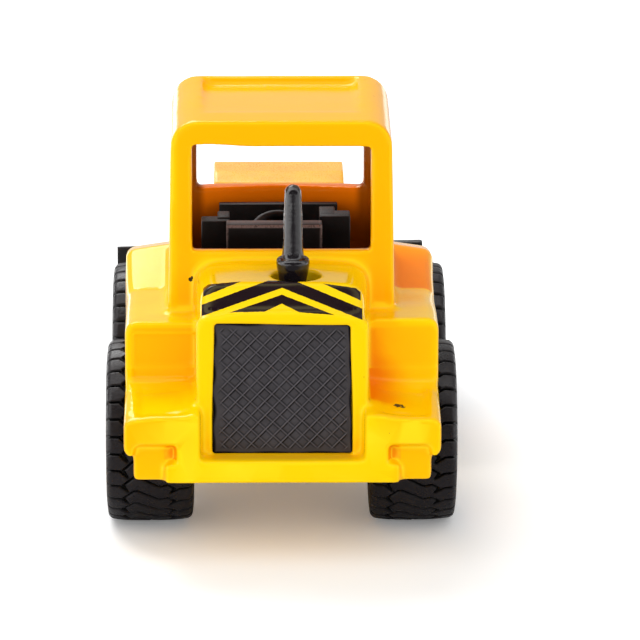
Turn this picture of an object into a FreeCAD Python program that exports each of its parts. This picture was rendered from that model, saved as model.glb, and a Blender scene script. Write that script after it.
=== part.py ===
import FreeCAD, Part
import Sketcher
import math
import os
import re

# Pocket-size die-cast wheel loader. Forward is +Y, right is +X, up is +Z.
# The origin is on the floor, under the middle of the model's length and width.

# Driving dimensions, millimetres and degrees.
sizes = {
    "overallLength": 78.0,
    "rearOverhang": 17.0,
    "wheelbase": 30.7,
    # wheels
    "tyreRadius": 9.2,
    "tyreWidth": 8.8,
    "trackOuter": 35.1,
    "crownWidth": 6.4,
    "shoulderDrop": 0.5,
    "rimRadius": 5.7,
    "rimLip": 0.75,
    "dishDepth": 1.5,
    "hubRadius": 2.1,
    "axleRadius": 1.0,
    "axleHead": 0.45,
    "axleFit": 0.06,
    "pressFit": 0.02,
    "seamGap": 0.05,
    "archGap": 0.6,
    # body casting: heights are measured up from the axle line
    "deckRise": 13.25,
    "deckHalf": 15.5,
    "fenderWall": 7.8,
    "creaseAhead": 4.9,
    "stepRise": 2.6,
    "stepAhead": 13.6,
    "noseRise": 1.6,
    "noseAhead": 18.8,
    "deckLean": 0.6,
    "noseFlare": 0.25,
    "sideDrop": 10.4,
    "spineHalf": 8.0,
    "edgeRound": 1.1,
    "lampRadius": 1.5,
    "lampProud": 0.5,
    "lampX": 12.4,
    "lampDrop": 3.6,
    # rear counterweight
    "counterHalf": 15.5,
    "shelfDrop": 6.9,
    "shelfLean": 0.5,
    "shelfRise": 1.25,
    "blockTall": 3.1,
    "legTall": 1.1,
    "legWide": 1.0,
    "columnWide": 1.9,
    "columnIn": 0.4,
    "barOver": 1.15,
    "barTall": 2.25,
    "barDip": 0.32,
    "barThick": 2.25,
    # hood and grille frame
    "hoodRear": 8.0,
    "hoodFore": 8.6,
    "frameHalf": 8.45,
    "frameThick": 1.1,
    "hoodRise": 5.3,
    "hoodFlat": 12.5,
    "hoodSlope": 2.25,
    "hoodRound": 1.9,
    "frameSet": 2.3,
    "frameRise": 2.95,
    "grilleHalf": 6.9,
    "grilleTall": 13.3,
    "grilleUnder": 0.45,
    "grilleDepth": 1.2,
    "grilleSet": 0.35,
    "grilleGap": 0.06,
    "stackHoleRadius": 2.45,
    "stackHoleX": 1.4,
    "stackBehind": 9.55,
    "stackHoleDeep": 2.4,
    "stackX": 0.9,
    "stackTall": 9.15,
    "stackRadius": 1.0,
    "collarRadius": 1.5,
    "collarTall": 1.7,
    # cab
    "cabHalf": 11.3,
    "cabTaper": 0.35,
    "cabBehind": 4.4,
    "cabAhead": 12.5,
    "roofRise": 19.55,
    "roofTilt": 0.95,
    "roofThick": 2.25,
    "roofRound": 2.6,
    "cabWall": 1.5,
    "panelHalf": 7.75,
    "panelBack": -0.9,
    "panelSink": 0.85,
    "panelLip": 0.15,
    "windowHalf": 8.85,
    "windowFront": 8.5,
    "windowSill": 6.4,
    "windowTall": 10.8,
    "frontSill": 9.05,
    "bowAhead": 1.25,
    "sideSill": 5.8,
    "pillarRear": 3.0,
    "pillarFront": 2.2,
    # cab interior: heights are measured up from its floor
    "floorRise": 1.95,
    "floorThick": 1.4,
    "insertGap": 0.12,
    "cavityInset": 0.25,
    "consoleGap": 0.3,
    "consoleLeft": 2.3,
    "consoleRight": 2.75,
    "consoleLeftTall": 5.6,
    "consoleRightTall": 6.0,
    "wallAisleLeft": 1.35,
    "wallAisleRight": 2.25,
    "seatBack": 1.0,
    "seatBackThick": 2.3,
    "seatTall": 5.9,
    "cushionAhead": 6.4,
    "cushionTall": 1.3,
    "dashTall": 5.7,
    "dashBack": 9.85,
    "dashHalf": 6.0,
    "steerRadius": 2.9,
    "steerRing": 0.45,
    "steerOff": 0.47,
    "steerAhead": 7.0,
    "steerRise": 3.6,
    "steerTilt": 30.0,
    # chassis base
    "baseUnder": 2.6,
    "baseOver": 1.2,
    "lowSet": 0.8,
    "lowTall": 3.65,
    "pocketSize": 1.2,
    "tailAhead": 7.5,
    "baseFront": 36.4,
    "stepHalf": 14.6,
    "stepBack": 11.2,
    "rivetRadius": 1.5,
    "rivetSink": 0.9,
    # boom
    "liftAhead": 25.4,
    "liftRise": 6.8,
    "towerRound": 2.9,
    "towerFoot": 2.6,
    "boomHalf": 6.8,
    "boomPlate": 1.4,
    "liftPin": 1.0,
    "pinFit": 0.05,
    "crestAhead": 34.0,
    "crestRise": 19.8,
    "sideGap": 0.3,
    # bucket
    "tiltAhead": 41.6,
    "tiltDrop": 4.0,
    "tiltPin": 0.8,
    "tipRound": 1.8,
    "bucketHalf": 16.6,
    "bucketTall": 17.25,
    "bucketShift": 0.7,
    "bucketWall": 1.2,
    "bucketBack": 43.9,
    "bucketFloor": 0.4,
    "lugThick": 1.3,
    "lipThick": 0.7,
}

doc = FreeCAD.newDocument("WheelLoader")
sheet = doc.addObject("Spreadsheet::Sheet", "Sizes")
for row, (alias, number) in enumerate(sizes.items(), start=1):
    sheet.set("A" + str(row), alias)
    sheet.set("B" + str(row), str(number))
    sheet.setAlias("B" + str(row), alias)
doc.recompute()

# Places that several sub-parts share, as expressions in the sheet's names.
rearFaceY = "(0 - overallLength / 2)"
rearAxleY = "(rearOverhang - overallLength / 2)"
frontAxleY = "(rearOverhang - overallLength / 2 + wheelbase)"
lipY = "(overallLength / 2)"
frameFaceY = "(frameSet - overallLength / 2)"
axleZ = "tyreRadius"
archRadius = "(tyreRadius + archGap)"
wheelCentre = "(trackOuter / 2 - tyreWidth / 2)"
deckTop = "(tyreRadius + deckRise)"
sideBottom = f"({deckTop} - sideDrop)"
shelfTop = f"({deckTop} - shelfDrop)"
blockBottom = f"({shelfTop} - blockTall)"
bodyBottom = "(tyreRadius + baseOver)"
baseBottom = "(tyreRadius - baseUnder)"
barTop = f"({bodyBottom} + grilleUnder)"
hoodTop = f"({deckTop} + hoodRise)"
frameTop = f"({deckTop} + frameRise)"
grilleBottom = f"({barTop} + pressFit)"
grilleTop = f"({grilleBottom} + grilleTall)"
stackHoleFloor = f"({hoodTop} - stackHoleDeep)"
roofTop = f"({deckTop} + roofRise)"
windowHead = f"({deckTop} + windowSill + windowTall)"
floorTop = f"({deckTop} + floorRise)"
insideHalf = "(cabHalf - cabWall - insertGap - cavityInset)"
liftZ = "(tyreRadius + liftRise)"
tiltZ = "(tyreRadius - tiltDrop)"
crestTop = "(tyreRadius + crestRise)"
towerHalf = "(boomHalf - boomPlate - sideGap)"
barHalf = "(frameHalf + columnWide + barOver)"


def behind(distance):
    return f"({rearAxleY} - ({distance}))"


def ahead(distance):
    return f"({rearAxleY} + ({distance}))"


def formula(text):
    return re.sub(r"[A-Za-z]\w*", lambda word: "Sizes." + word.group(0)
                  if word.group(0) in sizes else word.group(0), str(text))


def bind(thing, prop, text):
    thing.setExpression(prop, formula(text))


def place(thing, x="0", y="0", z="0"):
    bind(thing, ".Placement.Base.x", x)
    bind(thing, ".Placement.Base.y", y)
    bind(thing, ".Placement.Base.z", z)


def block(name, x, y, z):
    box = doc.addObject("Part::Box", name)
    for prop, (low, high) in (("Length", x), ("Width", y), ("Height", z)):
        bind(box, prop, f"({high}) - ({low})")
    place(box, x[0], y[0], z[0])
    return box


def rod(name, radius, x, y, z):
    bar = doc.addObject("Part::Cylinder", name)
    bar.Placement = FreeCAD.Placement(FreeCAD.Vector(), FreeCAD.Rotation(FreeCAD.Vector(0, 1, 0), 90))
    bind(bar, "Radius", radius)
    bind(bar, "Height", f"({x[1]}) - ({x[0]})")
    place(bar, x[0], y, z)
    return bar


def post(name, radius, x, y, z):
    bar = doc.addObject("Part::Cylinder", name)
    bind(bar, "Radius", radius)
    bind(bar, "Height", f"({z[1]}) - ({z[0]})")
    place(bar, x, y, z[0])
    return bar


def fuse(name, *things):
    joined = doc.addObject("Part::MultiFuse", name)
    joined.Shapes = list(things)
    return joined


def cut(name, base, *tools):
    tool = tools[0] if len(tools) == 1 else fuse(name + "Tools", *tools)
    result = doc.addObject("Part::Cut", name)
    result.Base = base
    result.Tool = tool
    return result


def originPlane(body, role):
    return next(item for item in body.Origin.OriginFeatures if item.Role == role)


def outline(body, name, plane, corners, offset="0"):
    # a closed polygon whose every corner is tied to the sheet
    sketch = body.newObject("Sketcher::SketchObject", name)
    sketch.AttachmentSupport = (originPlane(body, plane), "")
    sketch.MapMode = "FlatFace"
    bind(sketch, ".AttachmentOffset.Base.z", offset)
    count = len(corners)
    ring = [FreeCAD.Vector(math.cos(2 * math.pi * k / count), math.sin(2 * math.pi * k / count), 0)
            for k in range(count)]
    for k in range(count):
        sketch.addGeometry(Part.LineSegment(ring[k], ring[(k + 1) % count]))
    for k in range(count):
        sketch.addConstraint(Sketcher.Constraint("Coincident", k, 2, (k + 1) % count, 1))
    for k, (across, up) in enumerate(corners):
        for kind, value, text in (("DistanceX", ring[k].x, across), ("DistanceY", ring[k].y, up)):
            index = sketch.addConstraint(Sketcher.Constraint(kind, -1, 1, k, 1, value))
            bind(sketch, f"Constraints[{index}]", text)
    return sketch


def prism(name, plane, corners, length, offset="0", symmetric=True):
    body = doc.addObject("PartDesign::Body", name)
    pad = body.newObject("PartDesign::Pad", name + "Pad")
    pad.Profile = outline(body, name + "Outline", plane, corners, offset)
    if symmetric:
        pad.SideType = "Symmetric"
    bind(pad, "Length", length)
    body.Tip = pad
    doc.recompute()
    return body


def loft(name, plane, sections):
    # straight walls through outlines that stand one behind another along the plane's normal
    body = doc.addObject("PartDesign::Body", name)
    body.newObject("PartDesign::AdditiveLoft", name + "Loft")
    skin = body.Tip
    outlines = [outline(body, f"{name}Section{k}", plane, corners, offset)
                for k, (offset, corners) in enumerate(sections)]
    skin.Profile = outlines[0]
    skin.Sections = outlines[1:]
    skin.Ruled = True
    doc.recompute()
    return body


def roundedTop(half, low, top, radius, lean="0", flat=None, foot=None):
    # a section with round shoulders; its top falls by lean from |x| = flat out to the sides
    right = [(foot or half, low)]
    for turn in range(0, 91, 15):
        right.append((f"{half} - {radius} * {1 - math.cos(math.radians(turn)):.4f}",
                      f"{top} - {lean} - {radius} * {1 - math.sin(math.radians(turn)):.4f}"))
    if flat:
        right.append((flat, top))
    left = [(f"0 - ({across})", up) for across, up in reversed(right)]
    return right + left


def turned(name, corners, x="0", y="0", z="0"):
    # a profile of (distance along X, radius) corners, turned about the X axis
    body = doc.addObject("PartDesign::Body", name)
    turn = body.newObject("PartDesign::Revolution", name + "Turn")
    sketch = outline(body, name + "Outline", "XZ_Plane", corners)
    turn.Profile = sketch
    turn.ReferenceAxis = (sketch, ["H_Axis"])
    turn.Angle = 360
    body.Tip = turn
    place(body, x, y, z)
    doc.recompute()
    return body


def finished(thing, label):
    thing.Label = label
    kept.append(thing)
    return thing


kept = []
rivetPlaces = (behind("tyreRadius - 4"), ahead("stepBack + 3"))


def buildDeck():
    sections = []
    for across, half, rise, lean in ((behind("fenderWall"), "deckHalf", "0", "0"),
                                     (ahead("creaseAhead"), "deckHalf", "0", "0"),
                                     (ahead("stepAhead"), "(deckHalf + noseFlare)", "stepRise", "deckLean"),
                                     (ahead("noseAhead"), "(deckHalf + noseFlare)", "noseRise", "deckLean")):
        sections.append((f"0 - {across}", roundedTop(
            half, sideBottom, f"{deckTop} + {rise}", "edgeRound", lean, "cabHalf - 0.5")))
    return loft("Deck", "XZ_Plane", sections)


def buildCounterweight():
    sections = []
    for across, rise in ((rearFaceY, "0"), (behind("fenderWall - 0.5"), "shelfRise")):
        outer = f"{shelfTop} + {rise} - shelfLean"
        inner = f"{shelfTop} + {rise}"
        right = [("counterHalf - legWide", blockBottom),
                 ("counterHalf - legWide", f"{blockBottom} - legTall"),
                 ("counterHalf - 0.4", f"{blockBottom} - legTall"),
                 ("counterHalf", f"{blockBottom} - legTall + 0.5"),
                 ("counterHalf", f"{outer} - 0.5"), ("counterHalf - 0.4", outer), ("frameHalf", inner)]
        left = [(f"0 - ({side})", up) for side, up in reversed(right)]
        sections.append((f"0 - {across}", right + left))
    blocks = loft("Counter", "XZ_Plane", sections)
    columns = block("CounterColumns", ("0 - frameHalf - columnWide", "frameHalf + columnWide"),
                    (rearFaceY, f"{rearFaceY} + barThick"),
                    (f"{barTop} - barTall", f"{blockBottom} + 0.2"))
    inner = "frameHalf + columnWide - 0.2"
    bar = prism("CounterBar", "XZ_Plane", [
        (f"0 - {barHalf}", f"{barTop} - barTall"), (f"0 - {barHalf}", f"{barTop} - barDip"),
        (f"0 - ({inner})", f"{barTop} - barDip"), (f"0 - ({inner})", barTop), (inner, barTop),
        (inner, f"{barTop} - barDip"), (barHalf, f"{barTop} - barDip"),
        (barHalf, f"{barTop} - barTall")],
        "barThick", f"0 - {rearFaceY} - barThick", False)
    return [blocks, columns, bar]


def buildHood():
    sections = []
    for across, half, top in ((behind("cabBehind - cabWall"), "hoodFore", hoodTop),
                              (behind("hoodFlat"), "hoodRear", hoodTop),
                              (f"({frameFaceY} + frameThick / 2)", "hoodRear", f"{hoodTop} - hoodSlope")):
        sections.append((f"0 - {across}", roundedTop(
            half, bodyBottom, top, "hoodRound", "0.15", "hoodRear / 2")))
    hood = loft("Hood", "XZ_Plane", sections)
    frame = prism("GrilleFrame", "XZ_Plane", roundedTop(
        "frameHalf", bodyBottom, frameTop, "hoodRound * 0.6", "0.55", "frameHalf * 0.45"),
        "frameThick", f"0 - {frameFaceY} - frameThick", False)
    spine = block("Spine", ("0 - spineHalf", "spineHalf"), (behind("hoodFlat"), ahead("noseAhead")),
                  (bodyBottom, deckTop))
    return [hood, frame, spine]


def buildCab():
    sections = []
    for across, rise in ((behind("cabBehind"), "0"), (ahead("cabAhead"), "roofTilt")):
        sections.append((f"0 - {across}", roundedTop(
            "(cabHalf - cabTaper)", f"{deckTop} - 2", f"{roofTop} + {rise}", "roofRound",
            foot="cabHalf")))
    cab = loft("CabShell", "XZ_Plane", sections)
    bow = prism("SillBow", "XY_Plane", [
        ("0 - cabHalf + 0.6", ahead("cabAhead - cabWall")), ("0 - cabHalf + 0.6", ahead("cabAhead")),
        ("0 - cabHalf * 0.6", ahead("cabAhead + bowAhead * 0.64")),
        ("0 - cabHalf * 0.25", ahead("cabAhead + bowAhead * 0.94")),
        ("cabHalf * 0.25", ahead("cabAhead + bowAhead * 0.94")),
        ("cabHalf * 0.6", ahead("cabAhead + bowAhead * 0.64")),
        ("cabHalf - 0.6", ahead("cabAhead")), ("cabHalf - 0.6", ahead("cabAhead - cabWall"))],
        "frontSill + 1", f"{deckTop} - 1", False)
    return [cab, bow]


def cabCuts():
    cavity = prism("CabCavity", "YZ_Plane", [
        (behind("cabBehind - cabWall"), f"{floorTop} - floorThick - insertGap"),
        (behind("cabBehind - cabWall"), f"{roofTop} - roofThick"),
        (ahead("cabAhead - cabWall"), f"{roofTop} - roofThick"),
        (ahead("cabAhead - cabWall"), f"{floorTop} - floorThick - insertGap")],
        "2 * (cabHalf - cabWall - cavityInset)")
    hollow = prism("BowHollow", "XY_Plane", [
        ("0 - cabHalf + cabWall + 1", ahead("cabAhead - cabWall - 1")),
        ("0 - cabHalf + cabWall + 1", ahead("cabAhead - cabWall")),
        ("0", ahead("cabAhead + bowAhead - cabWall")),
        ("cabHalf - cabWall - 1", ahead("cabAhead - cabWall")),
        ("cabHalf - cabWall - 1", ahead("cabAhead - cabWall - 1"))],
        "frontSill", f"{floorTop} + 1", False)
    rearWindow = block("RearWindow", ("0 - windowHalf", "windowHalf"),
                       (behind("cabBehind + 1"), behind("cabBehind - cabWall - 1")),
                       (f"{deckTop} + windowSill", windowHead))
    frontWindow = block("FrontWindow", ("0 - windowFront", "windowFront"),
                        (ahead("cabAhead - cabWall - 1"), ahead("cabAhead + 5")),
                        (f"{deckTop} + frontSill", windowHead))
    sideWindow = block("SideWindow", ("0 - cabHalf - 1", "cabHalf + 1"),
                       (behind("cabBehind - pillarRear"), ahead("cabAhead - pillarFront")),
                       (f"{deckTop} + sideSill", windowHead))
    panel = prism("RoofPanel", "YZ_Plane", [
        (ahead("panelBack"), f"{roofTop} + 2"), (ahead("panelBack"), f"{roofTop} + panelLip"),
        (ahead("cabAhead - 1"), f"{roofTop} + roofTilt - panelSink"),
        (ahead("cabAhead - 1"), f"{roofTop} + 2")],
        "2 * panelHalf")
    return [cavity, hollow, rearWindow, frontWindow, sideWindow, panel]


def buildBody():
    lamps = []
    for side, across in (("Left", "0 - lampX"), ("Right", "lampX")):
        lamp = doc.addObject("Part::Cylinder", "Headlamp" + side)
        lamp.Placement.Rotation = FreeCAD.Rotation(FreeCAD.Vector(1, 0, 0), -90)
        bind(lamp, "Radius", "lampRadius")
        bind(lamp, "Height", "lampProud + 1")
        place(lamp, across, ahead("noseAhead - 1"), f"{deckTop} + noseRise - deckLean - lampDrop")
        lamps.append(lamp)
    solid = fuse("BodySolid", buildDeck(), *buildCounterweight(), *buildHood(), *buildCab(), *lamps)
    inner = "spineHalf + 0.35"
    outer = "deckHalf + 4"
    arches = [rod("ArchLeft", archRadius, (f"0 - ({outer})", f"0 - ({inner})"), rearAxleY, axleZ),
              rod("ArchRight", archRadius, (inner, outer), rearAxleY, axleZ)]
    grilleSeat = block("GrilleSeat", ("0 - grilleHalf", "grilleHalf"),
                       (f"{frameFaceY} - 1", f"{frameFaceY} + grilleDepth"), (grilleBottom, grilleTop))
    frameWay = block("FrameWay", ("0 - frameHalf + columnIn", "frameHalf - columnIn"),
                     (f"{rearFaceY} - 1", frameFaceY),
                     (barTop, f"{deckTop} - 2"))
    stackHole = post("StackHole", "stackHoleRadius", "stackHoleX", behind("stackBehind"),
                     (stackHoleFloor, f"{hoodTop} + 1"))
    rivetHoles = [post("RivetPostHole" + str(k), "rivetRadius", "0", where,
                       (f"{bodyBottom} - 1", f"{bodyBottom} + 2"))
                  for k, where in enumerate(rivetPlaces)]
    casting = cut("BodyCasting", solid, *arches, grilleSeat, frameWay, stackHole, *rivetHoles, *cabCuts())
    return finished(casting, "body_casting")


def buildBase():
    slab = block("BaseSlab", ("0 - spineHalf", "spineHalf"),
                 (behind("tailAhead"), ahead("baseFront")), (baseBottom, bodyBottom))
    tail = block("BaseTail", ("0 - spineHalf", "spineHalf"),
                 (f"{rearFaceY} + barThick + seamGap", behind("tailAhead - 1")),
                 (f"{barTop} - barTall", bodyBottom))
    low = block("LowBlocks", ("0 - counterHalf + legWide + 0.1", "counterHalf - legWide - 0.1"),
                (f"{rearFaceY} + lowSet", behind("tyreRadius + archGap")),
                (f"{blockBottom} - lowTall", f"{blockBottom} - seamGap"))
    lowWay = block("LowWay", ("0 - frameHalf - columnWide - seamGap", "frameHalf + columnWide + seamGap"),
                   (rearFaceY, f"{rearFaceY} + barThick + seamGap"), ("0", blockBottom))
    barWay = block("BarWay", (f"0 - {barHalf} - seamGap", f"{barHalf} + seamGap"),
                   (rearFaceY, f"{rearFaceY} + barThick + seamGap"), ("0", f"{barTop} - barDip"))
    hoodWay = block("HoodWay", ("0 - frameHalf - 0.1", "frameHalf + 0.1"),
                    (rearFaceY, behind("0")), (bodyBottom, f"{blockBottom} + 1"))
    pockets = [block("Pocket" + side, (f"{edge} - pocketSize * {low_}", f"{edge} + pocketSize * {high_}"),
                     (rearFaceY, f"{rearFaceY} + lowSet + pocketSize"),
                     (f"{barTop} - barDip", blockBottom))
               for side, edge, low_, high_ in (("Left", f"0 - {barHalf}", 0, 1), ("Right", barHalf, 1, 0))]
    steps = block("StepBlocks", ("0 - stepHalf", "stepHalf"),
                  (ahead("stepBack"), ahead("noseAhead - 0.4")),
                  (baseBottom, f"{sideBottom} - seamGap"))
    stepWay = block("StepWay", ("0 - spineHalf - seamGap", "spineHalf + seamGap"),
                    (ahead("stepBack - 1"), ahead("noseAhead + seamGap")),
                    (bodyBottom, f"{sideBottom} + 1"))
    root = f"{bodyBottom} - 1"
    tower = prism("BoomTower", "YZ_Plane", [
        (ahead("noseAhead + 0.6"), root), (ahead("liftAhead - towerRound"), liftZ),
        (ahead("liftAhead - towerRound * 0.7"), f"{liftZ} + towerRound * 0.7"),
        (ahead("liftAhead"), f"{liftZ} + towerRound"),
        (ahead("liftAhead + towerRound * 0.7"), f"{liftZ} + towerRound * 0.7"),
        (ahead("liftAhead + towerRound"), liftZ),
        (ahead("liftAhead + towerRound + towerFoot"), root)], f"2 * {towerHalf}")
    solid = fuse("BaseSolid", slab, tail, low, steps, tower)
    bores = [rod(name, radius, ("0 - deckHalf", "deckHalf"), across, up) for name, radius, across, up in (
        ("RearBearing", "axleRadius + axleFit", rearAxleY, axleZ),
        ("FrontBearing", "axleRadius + axleFit", frontAxleY, axleZ),
        ("LiftBore", "liftPin + pressFit", ahead("liftAhead"), liftZ))]
    rivetWays = []
    for k, where in enumerate(rivetPlaces):
        rivetWays.append(post(f"RivetHole{k}", "rivetRadius", "0", where,
                              (f"{baseBottom} - 1", f"{bodyBottom} + 1")))
        rivetWays.append(post(f"RivetSink{k}", "rivetRadius + 0.8", "0", where,
                              (f"{baseBottom} - 1", f"{baseBottom} + rivetSink")))
    base = cut("ChassisBase", solid, lowWay, barWay, hoodWay, *pockets, stepWay, *bores, *rivetWays)
    return finished(base, "chassis_base")


def buildRivets():
    for label, where in zip(("rear_rivet", "front_rivet"), rivetPlaces):
        shank = post(label + "Shank", "rivetRadius - pressFit", "0", where,
                     (f"{baseBottom} + rivetSink - 0.1", f"{bodyBottom} + 1.9"))
        head = post(label + "Head", "rivetRadius + 0.7", "0", where,
                    (f"{baseBottom} + 0.1", f"{baseBottom} + rivetSink - pressFit"))
        finished(fuse(label + "Solid", shank, head), label)


def buildGrille():
    plate = block("GrillePlate", ("0 - grilleHalf + grilleGap", "grilleHalf - grilleGap"),
                  (f"{frameFaceY} + grilleSet", f"{frameFaceY} + grilleDepth - pressFit"),
                  (f"{grilleBottom} + grilleGap", f"{grilleTop} - grilleGap"))
    finished(plate, "radiator_grille")


def buildStack():
    spot = behind("stackBehind")
    seat = f"{stackHoleFloor} + pressFit"
    end = f"{hoodTop} + stackTall - stackRadius"
    foot = post("StackFoot", "stackHoleRadius - 0.1", "stackHoleX", spot, (seat, f"{stackHoleFloor} + 1"))
    collar = post("StackCollar", "collarRadius", "stackX", spot, (seat, f"{hoodTop} + collarTall"))
    pipe = post("StackPipe", "stackRadius", "stackX", spot, (seat, end))
    dome = doc.addObject("Part::Sphere", "StackDome")
    bind(dome, "Radius", "stackRadius")
    place(dome, "stackX", spot, end)
    finished(fuse("StackSolid", foot, collar, pipe, dome), "exhaust_stack")


def buildInterior():
    backY = behind("cabBehind - cabWall - insertGap")
    frontY = ahead("cabAhead - cabWall - insertGap")
    leftEdge = f"(wallAisleLeft - {insideHalf})"
    rightEdge = f"({insideHalf} - wallAisleRight)"
    floor = block("CabFloor", (f"0 - {insideHalf}", insideHalf), (backY, frontY),
                  (f"{floorTop} - floorThick", floorTop))
    left = block("LeftConsole", (leftEdge, f"{leftEdge} + consoleLeft"), (ahead("1.5"), ahead("6.5")),
                 (floorTop, f"{floorTop} + consoleLeftTall"))
    right = block("RightConsole", (f"{rightEdge} - consoleRight", rightEdge), (ahead("1.5"), ahead("7")),
                  (floorTop, f"{floorTop} + consoleRightTall"))
    finished(fuse("InteriorTub", floor, left, right), "interior_tub")
    seatLeft = f"({leftEdge} + consoleLeft + consoleGap)"
    seatRight = f"({rightEdge} - consoleRight - consoleGap)"
    seatFloor = f"{floorTop} + pressFit"
    seat = prism("SeatSide", "YZ_Plane", [
        (ahead("seatBack + 0.8"), seatFloor), (ahead("seatBack"), f"{floorTop} + seatTall"),
        (ahead("seatBack + seatBackThick"), f"{floorTop} + seatTall"),
        (ahead("seatBack + seatBackThick + 0.7"), f"{floorTop} + cushionTall"),
        (ahead("cushionAhead"), f"{floorTop} + cushionTall"), (ahead("cushionAhead"), seatFloor)],
        f"{seatRight} - {seatLeft}")
    place(seat, f"({seatLeft} + {seatRight}) / 2")
    finished(seat, "driver_seat")
    dash = prism("DashSide", "YZ_Plane", [
        (ahead("dashBack"), seatFloor), (ahead("dashBack"), f"{floorTop} + dashTall - 0.6"),
        (ahead("dashBack + 0.4"), f"{floorTop} + dashTall"), (frontY, f"{floorTop} + dashTall - 0.1"),
        (frontY, seatFloor)], "2 * dashHalf")
    steerX = f"(({seatLeft} + {seatRight}) / 2 + steerOff)"
    place(dash, steerX)
    finished(dash, "dashboard")
    ring = doc.addObject("Part::Torus", "SteerRing")
    reach = f"(min(steerRadius; ({seatRight} - {seatLeft}) / 2 + consoleGap / 2 - steerOff) - steerRing)"
    bind(ring, "Radius1", reach)
    bind(ring, "Radius2", "steerRing")
    hub = post("SteerHub", "steerRing * 2", "0", "0", ("0 - steerRing", "steerRing"))
    column = post("SteerColumn", "steerRing * 1.2", "0", "0",
                  ("(insertGap - steerRise) / cos(steerTilt) + steerRing", "0"))
    spokes = []
    for turn in (30, 150, 270):
        spoke = block("SteerSpoke" + str(turn), ("0", reach),
                      ("0 - steerRing * 0.7", "steerRing * 0.7"),
                      ("0 - steerRing * 0.6", "steerRing * 0.6"))
        arm = doc.addObject("Part::MultiFuse", "SteerArm" + str(turn))
        arm.Shapes = [spoke, hub]
        arm.Placement.Rotation = FreeCAD.Rotation(FreeCAD.Vector(0, 0, 1), turn)
        spokes.append(arm)
    wheel = fuse("SteeringWheel", ring, column, *spokes)
    bind(wheel, ".Placement.Rotation.Axis.x", "1")
    bind(wheel, ".Placement.Rotation.Axis.z", "0")
    bind(wheel, ".Placement.Rotation.Angle", "steerTilt")
    place(wheel, steerX, ahead("steerAhead"), f"{floorTop} + steerRise")
    finished(wheel, "steering_wheel")


def buildWheels():
    half = "(tyreWidth / 2)"
    crown = "crownWidth / 2"
    for axle, axleY in (("rear", rearAxleY), ("front", frontAxleY)):
        for side, sign in (("left", "-1"), ("right", "1")):
            name = f"{axle}_{side}"
            tyre = turned(name + "Tyre", [
                (f"0 - {half}", "rimRadius + pressFit"), (f"0 - {half}", "rimRadius + 0.6"),
                (f"0 - {half}", "tyreRadius - shoulderDrop * 1.6"),
                (f"0 - {half} + 0.7", "tyreRadius - shoulderDrop * 0.5"), (f"0 - {crown}", "tyreRadius"),
                (crown, "tyreRadius"), (f"{half} - 0.7", "tyreRadius - shoulderDrop * 0.5"),
                (half, "tyreRadius - shoulderDrop * 1.6"), (half, "rimRadius + 0.6"),
                (half, "rimRadius + pressFit")],
                f"{sign} * {wheelCentre}", axleY, axleZ)
            finished(tyre, f"{name}_tyre")
            face = f"{sign} * (tyreWidth / 2 - 0.5)"
            rim = turned(name + "Rim", [
                (f"0 - {sign} * 3.4", "axleRadius + pressFit"), (f"0 - {sign} * 3.4", "hubRadius"),
                (f"{sign} * 0.4", "hubRadius"), (f"{sign} * 0.4", "rimRadius - rimLip"),
                (f"0 - {sign} * 3.6", "rimRadius - rimLip"), (f"0 - {sign} * 3.6", "rimRadius"),
                (face, "rimRadius"), (face, "rimRadius - rimLip"),
                (f"{face} - {sign} * dishDepth", "rimRadius - rimLip - 0.5"),
                (f"{face} - {sign} * dishDepth", "hubRadius + 0.3"),
                (f"{face} - {sign} * 0.3", "hubRadius"),
                (f"{face} - {sign} * 0.3", "axleRadius + pressFit")],
                f"{sign} * {wheelCentre}", axleY, axleZ)
            finished(rim, f"{name}_rim")
        end = "(trackOuter / 2 - 0.75)"
        shaft = rod(axle + "Shaft", "axleRadius", (f"0 - {end}", end), axleY, axleZ)
        heads = [rod(axle + "HeadLeft", "axleRadius + axleHead", (f"0 - {end} - 0.35", f"0 - {end}"),
                     axleY, axleZ),
                 rod(axle + "HeadRight", "axleRadius + axleHead", (end, f"{end} + 0.35"), axleY, axleZ)]
        finished(fuse(axle + "Axle", shaft, *heads), f"{axle}_axle")


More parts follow.
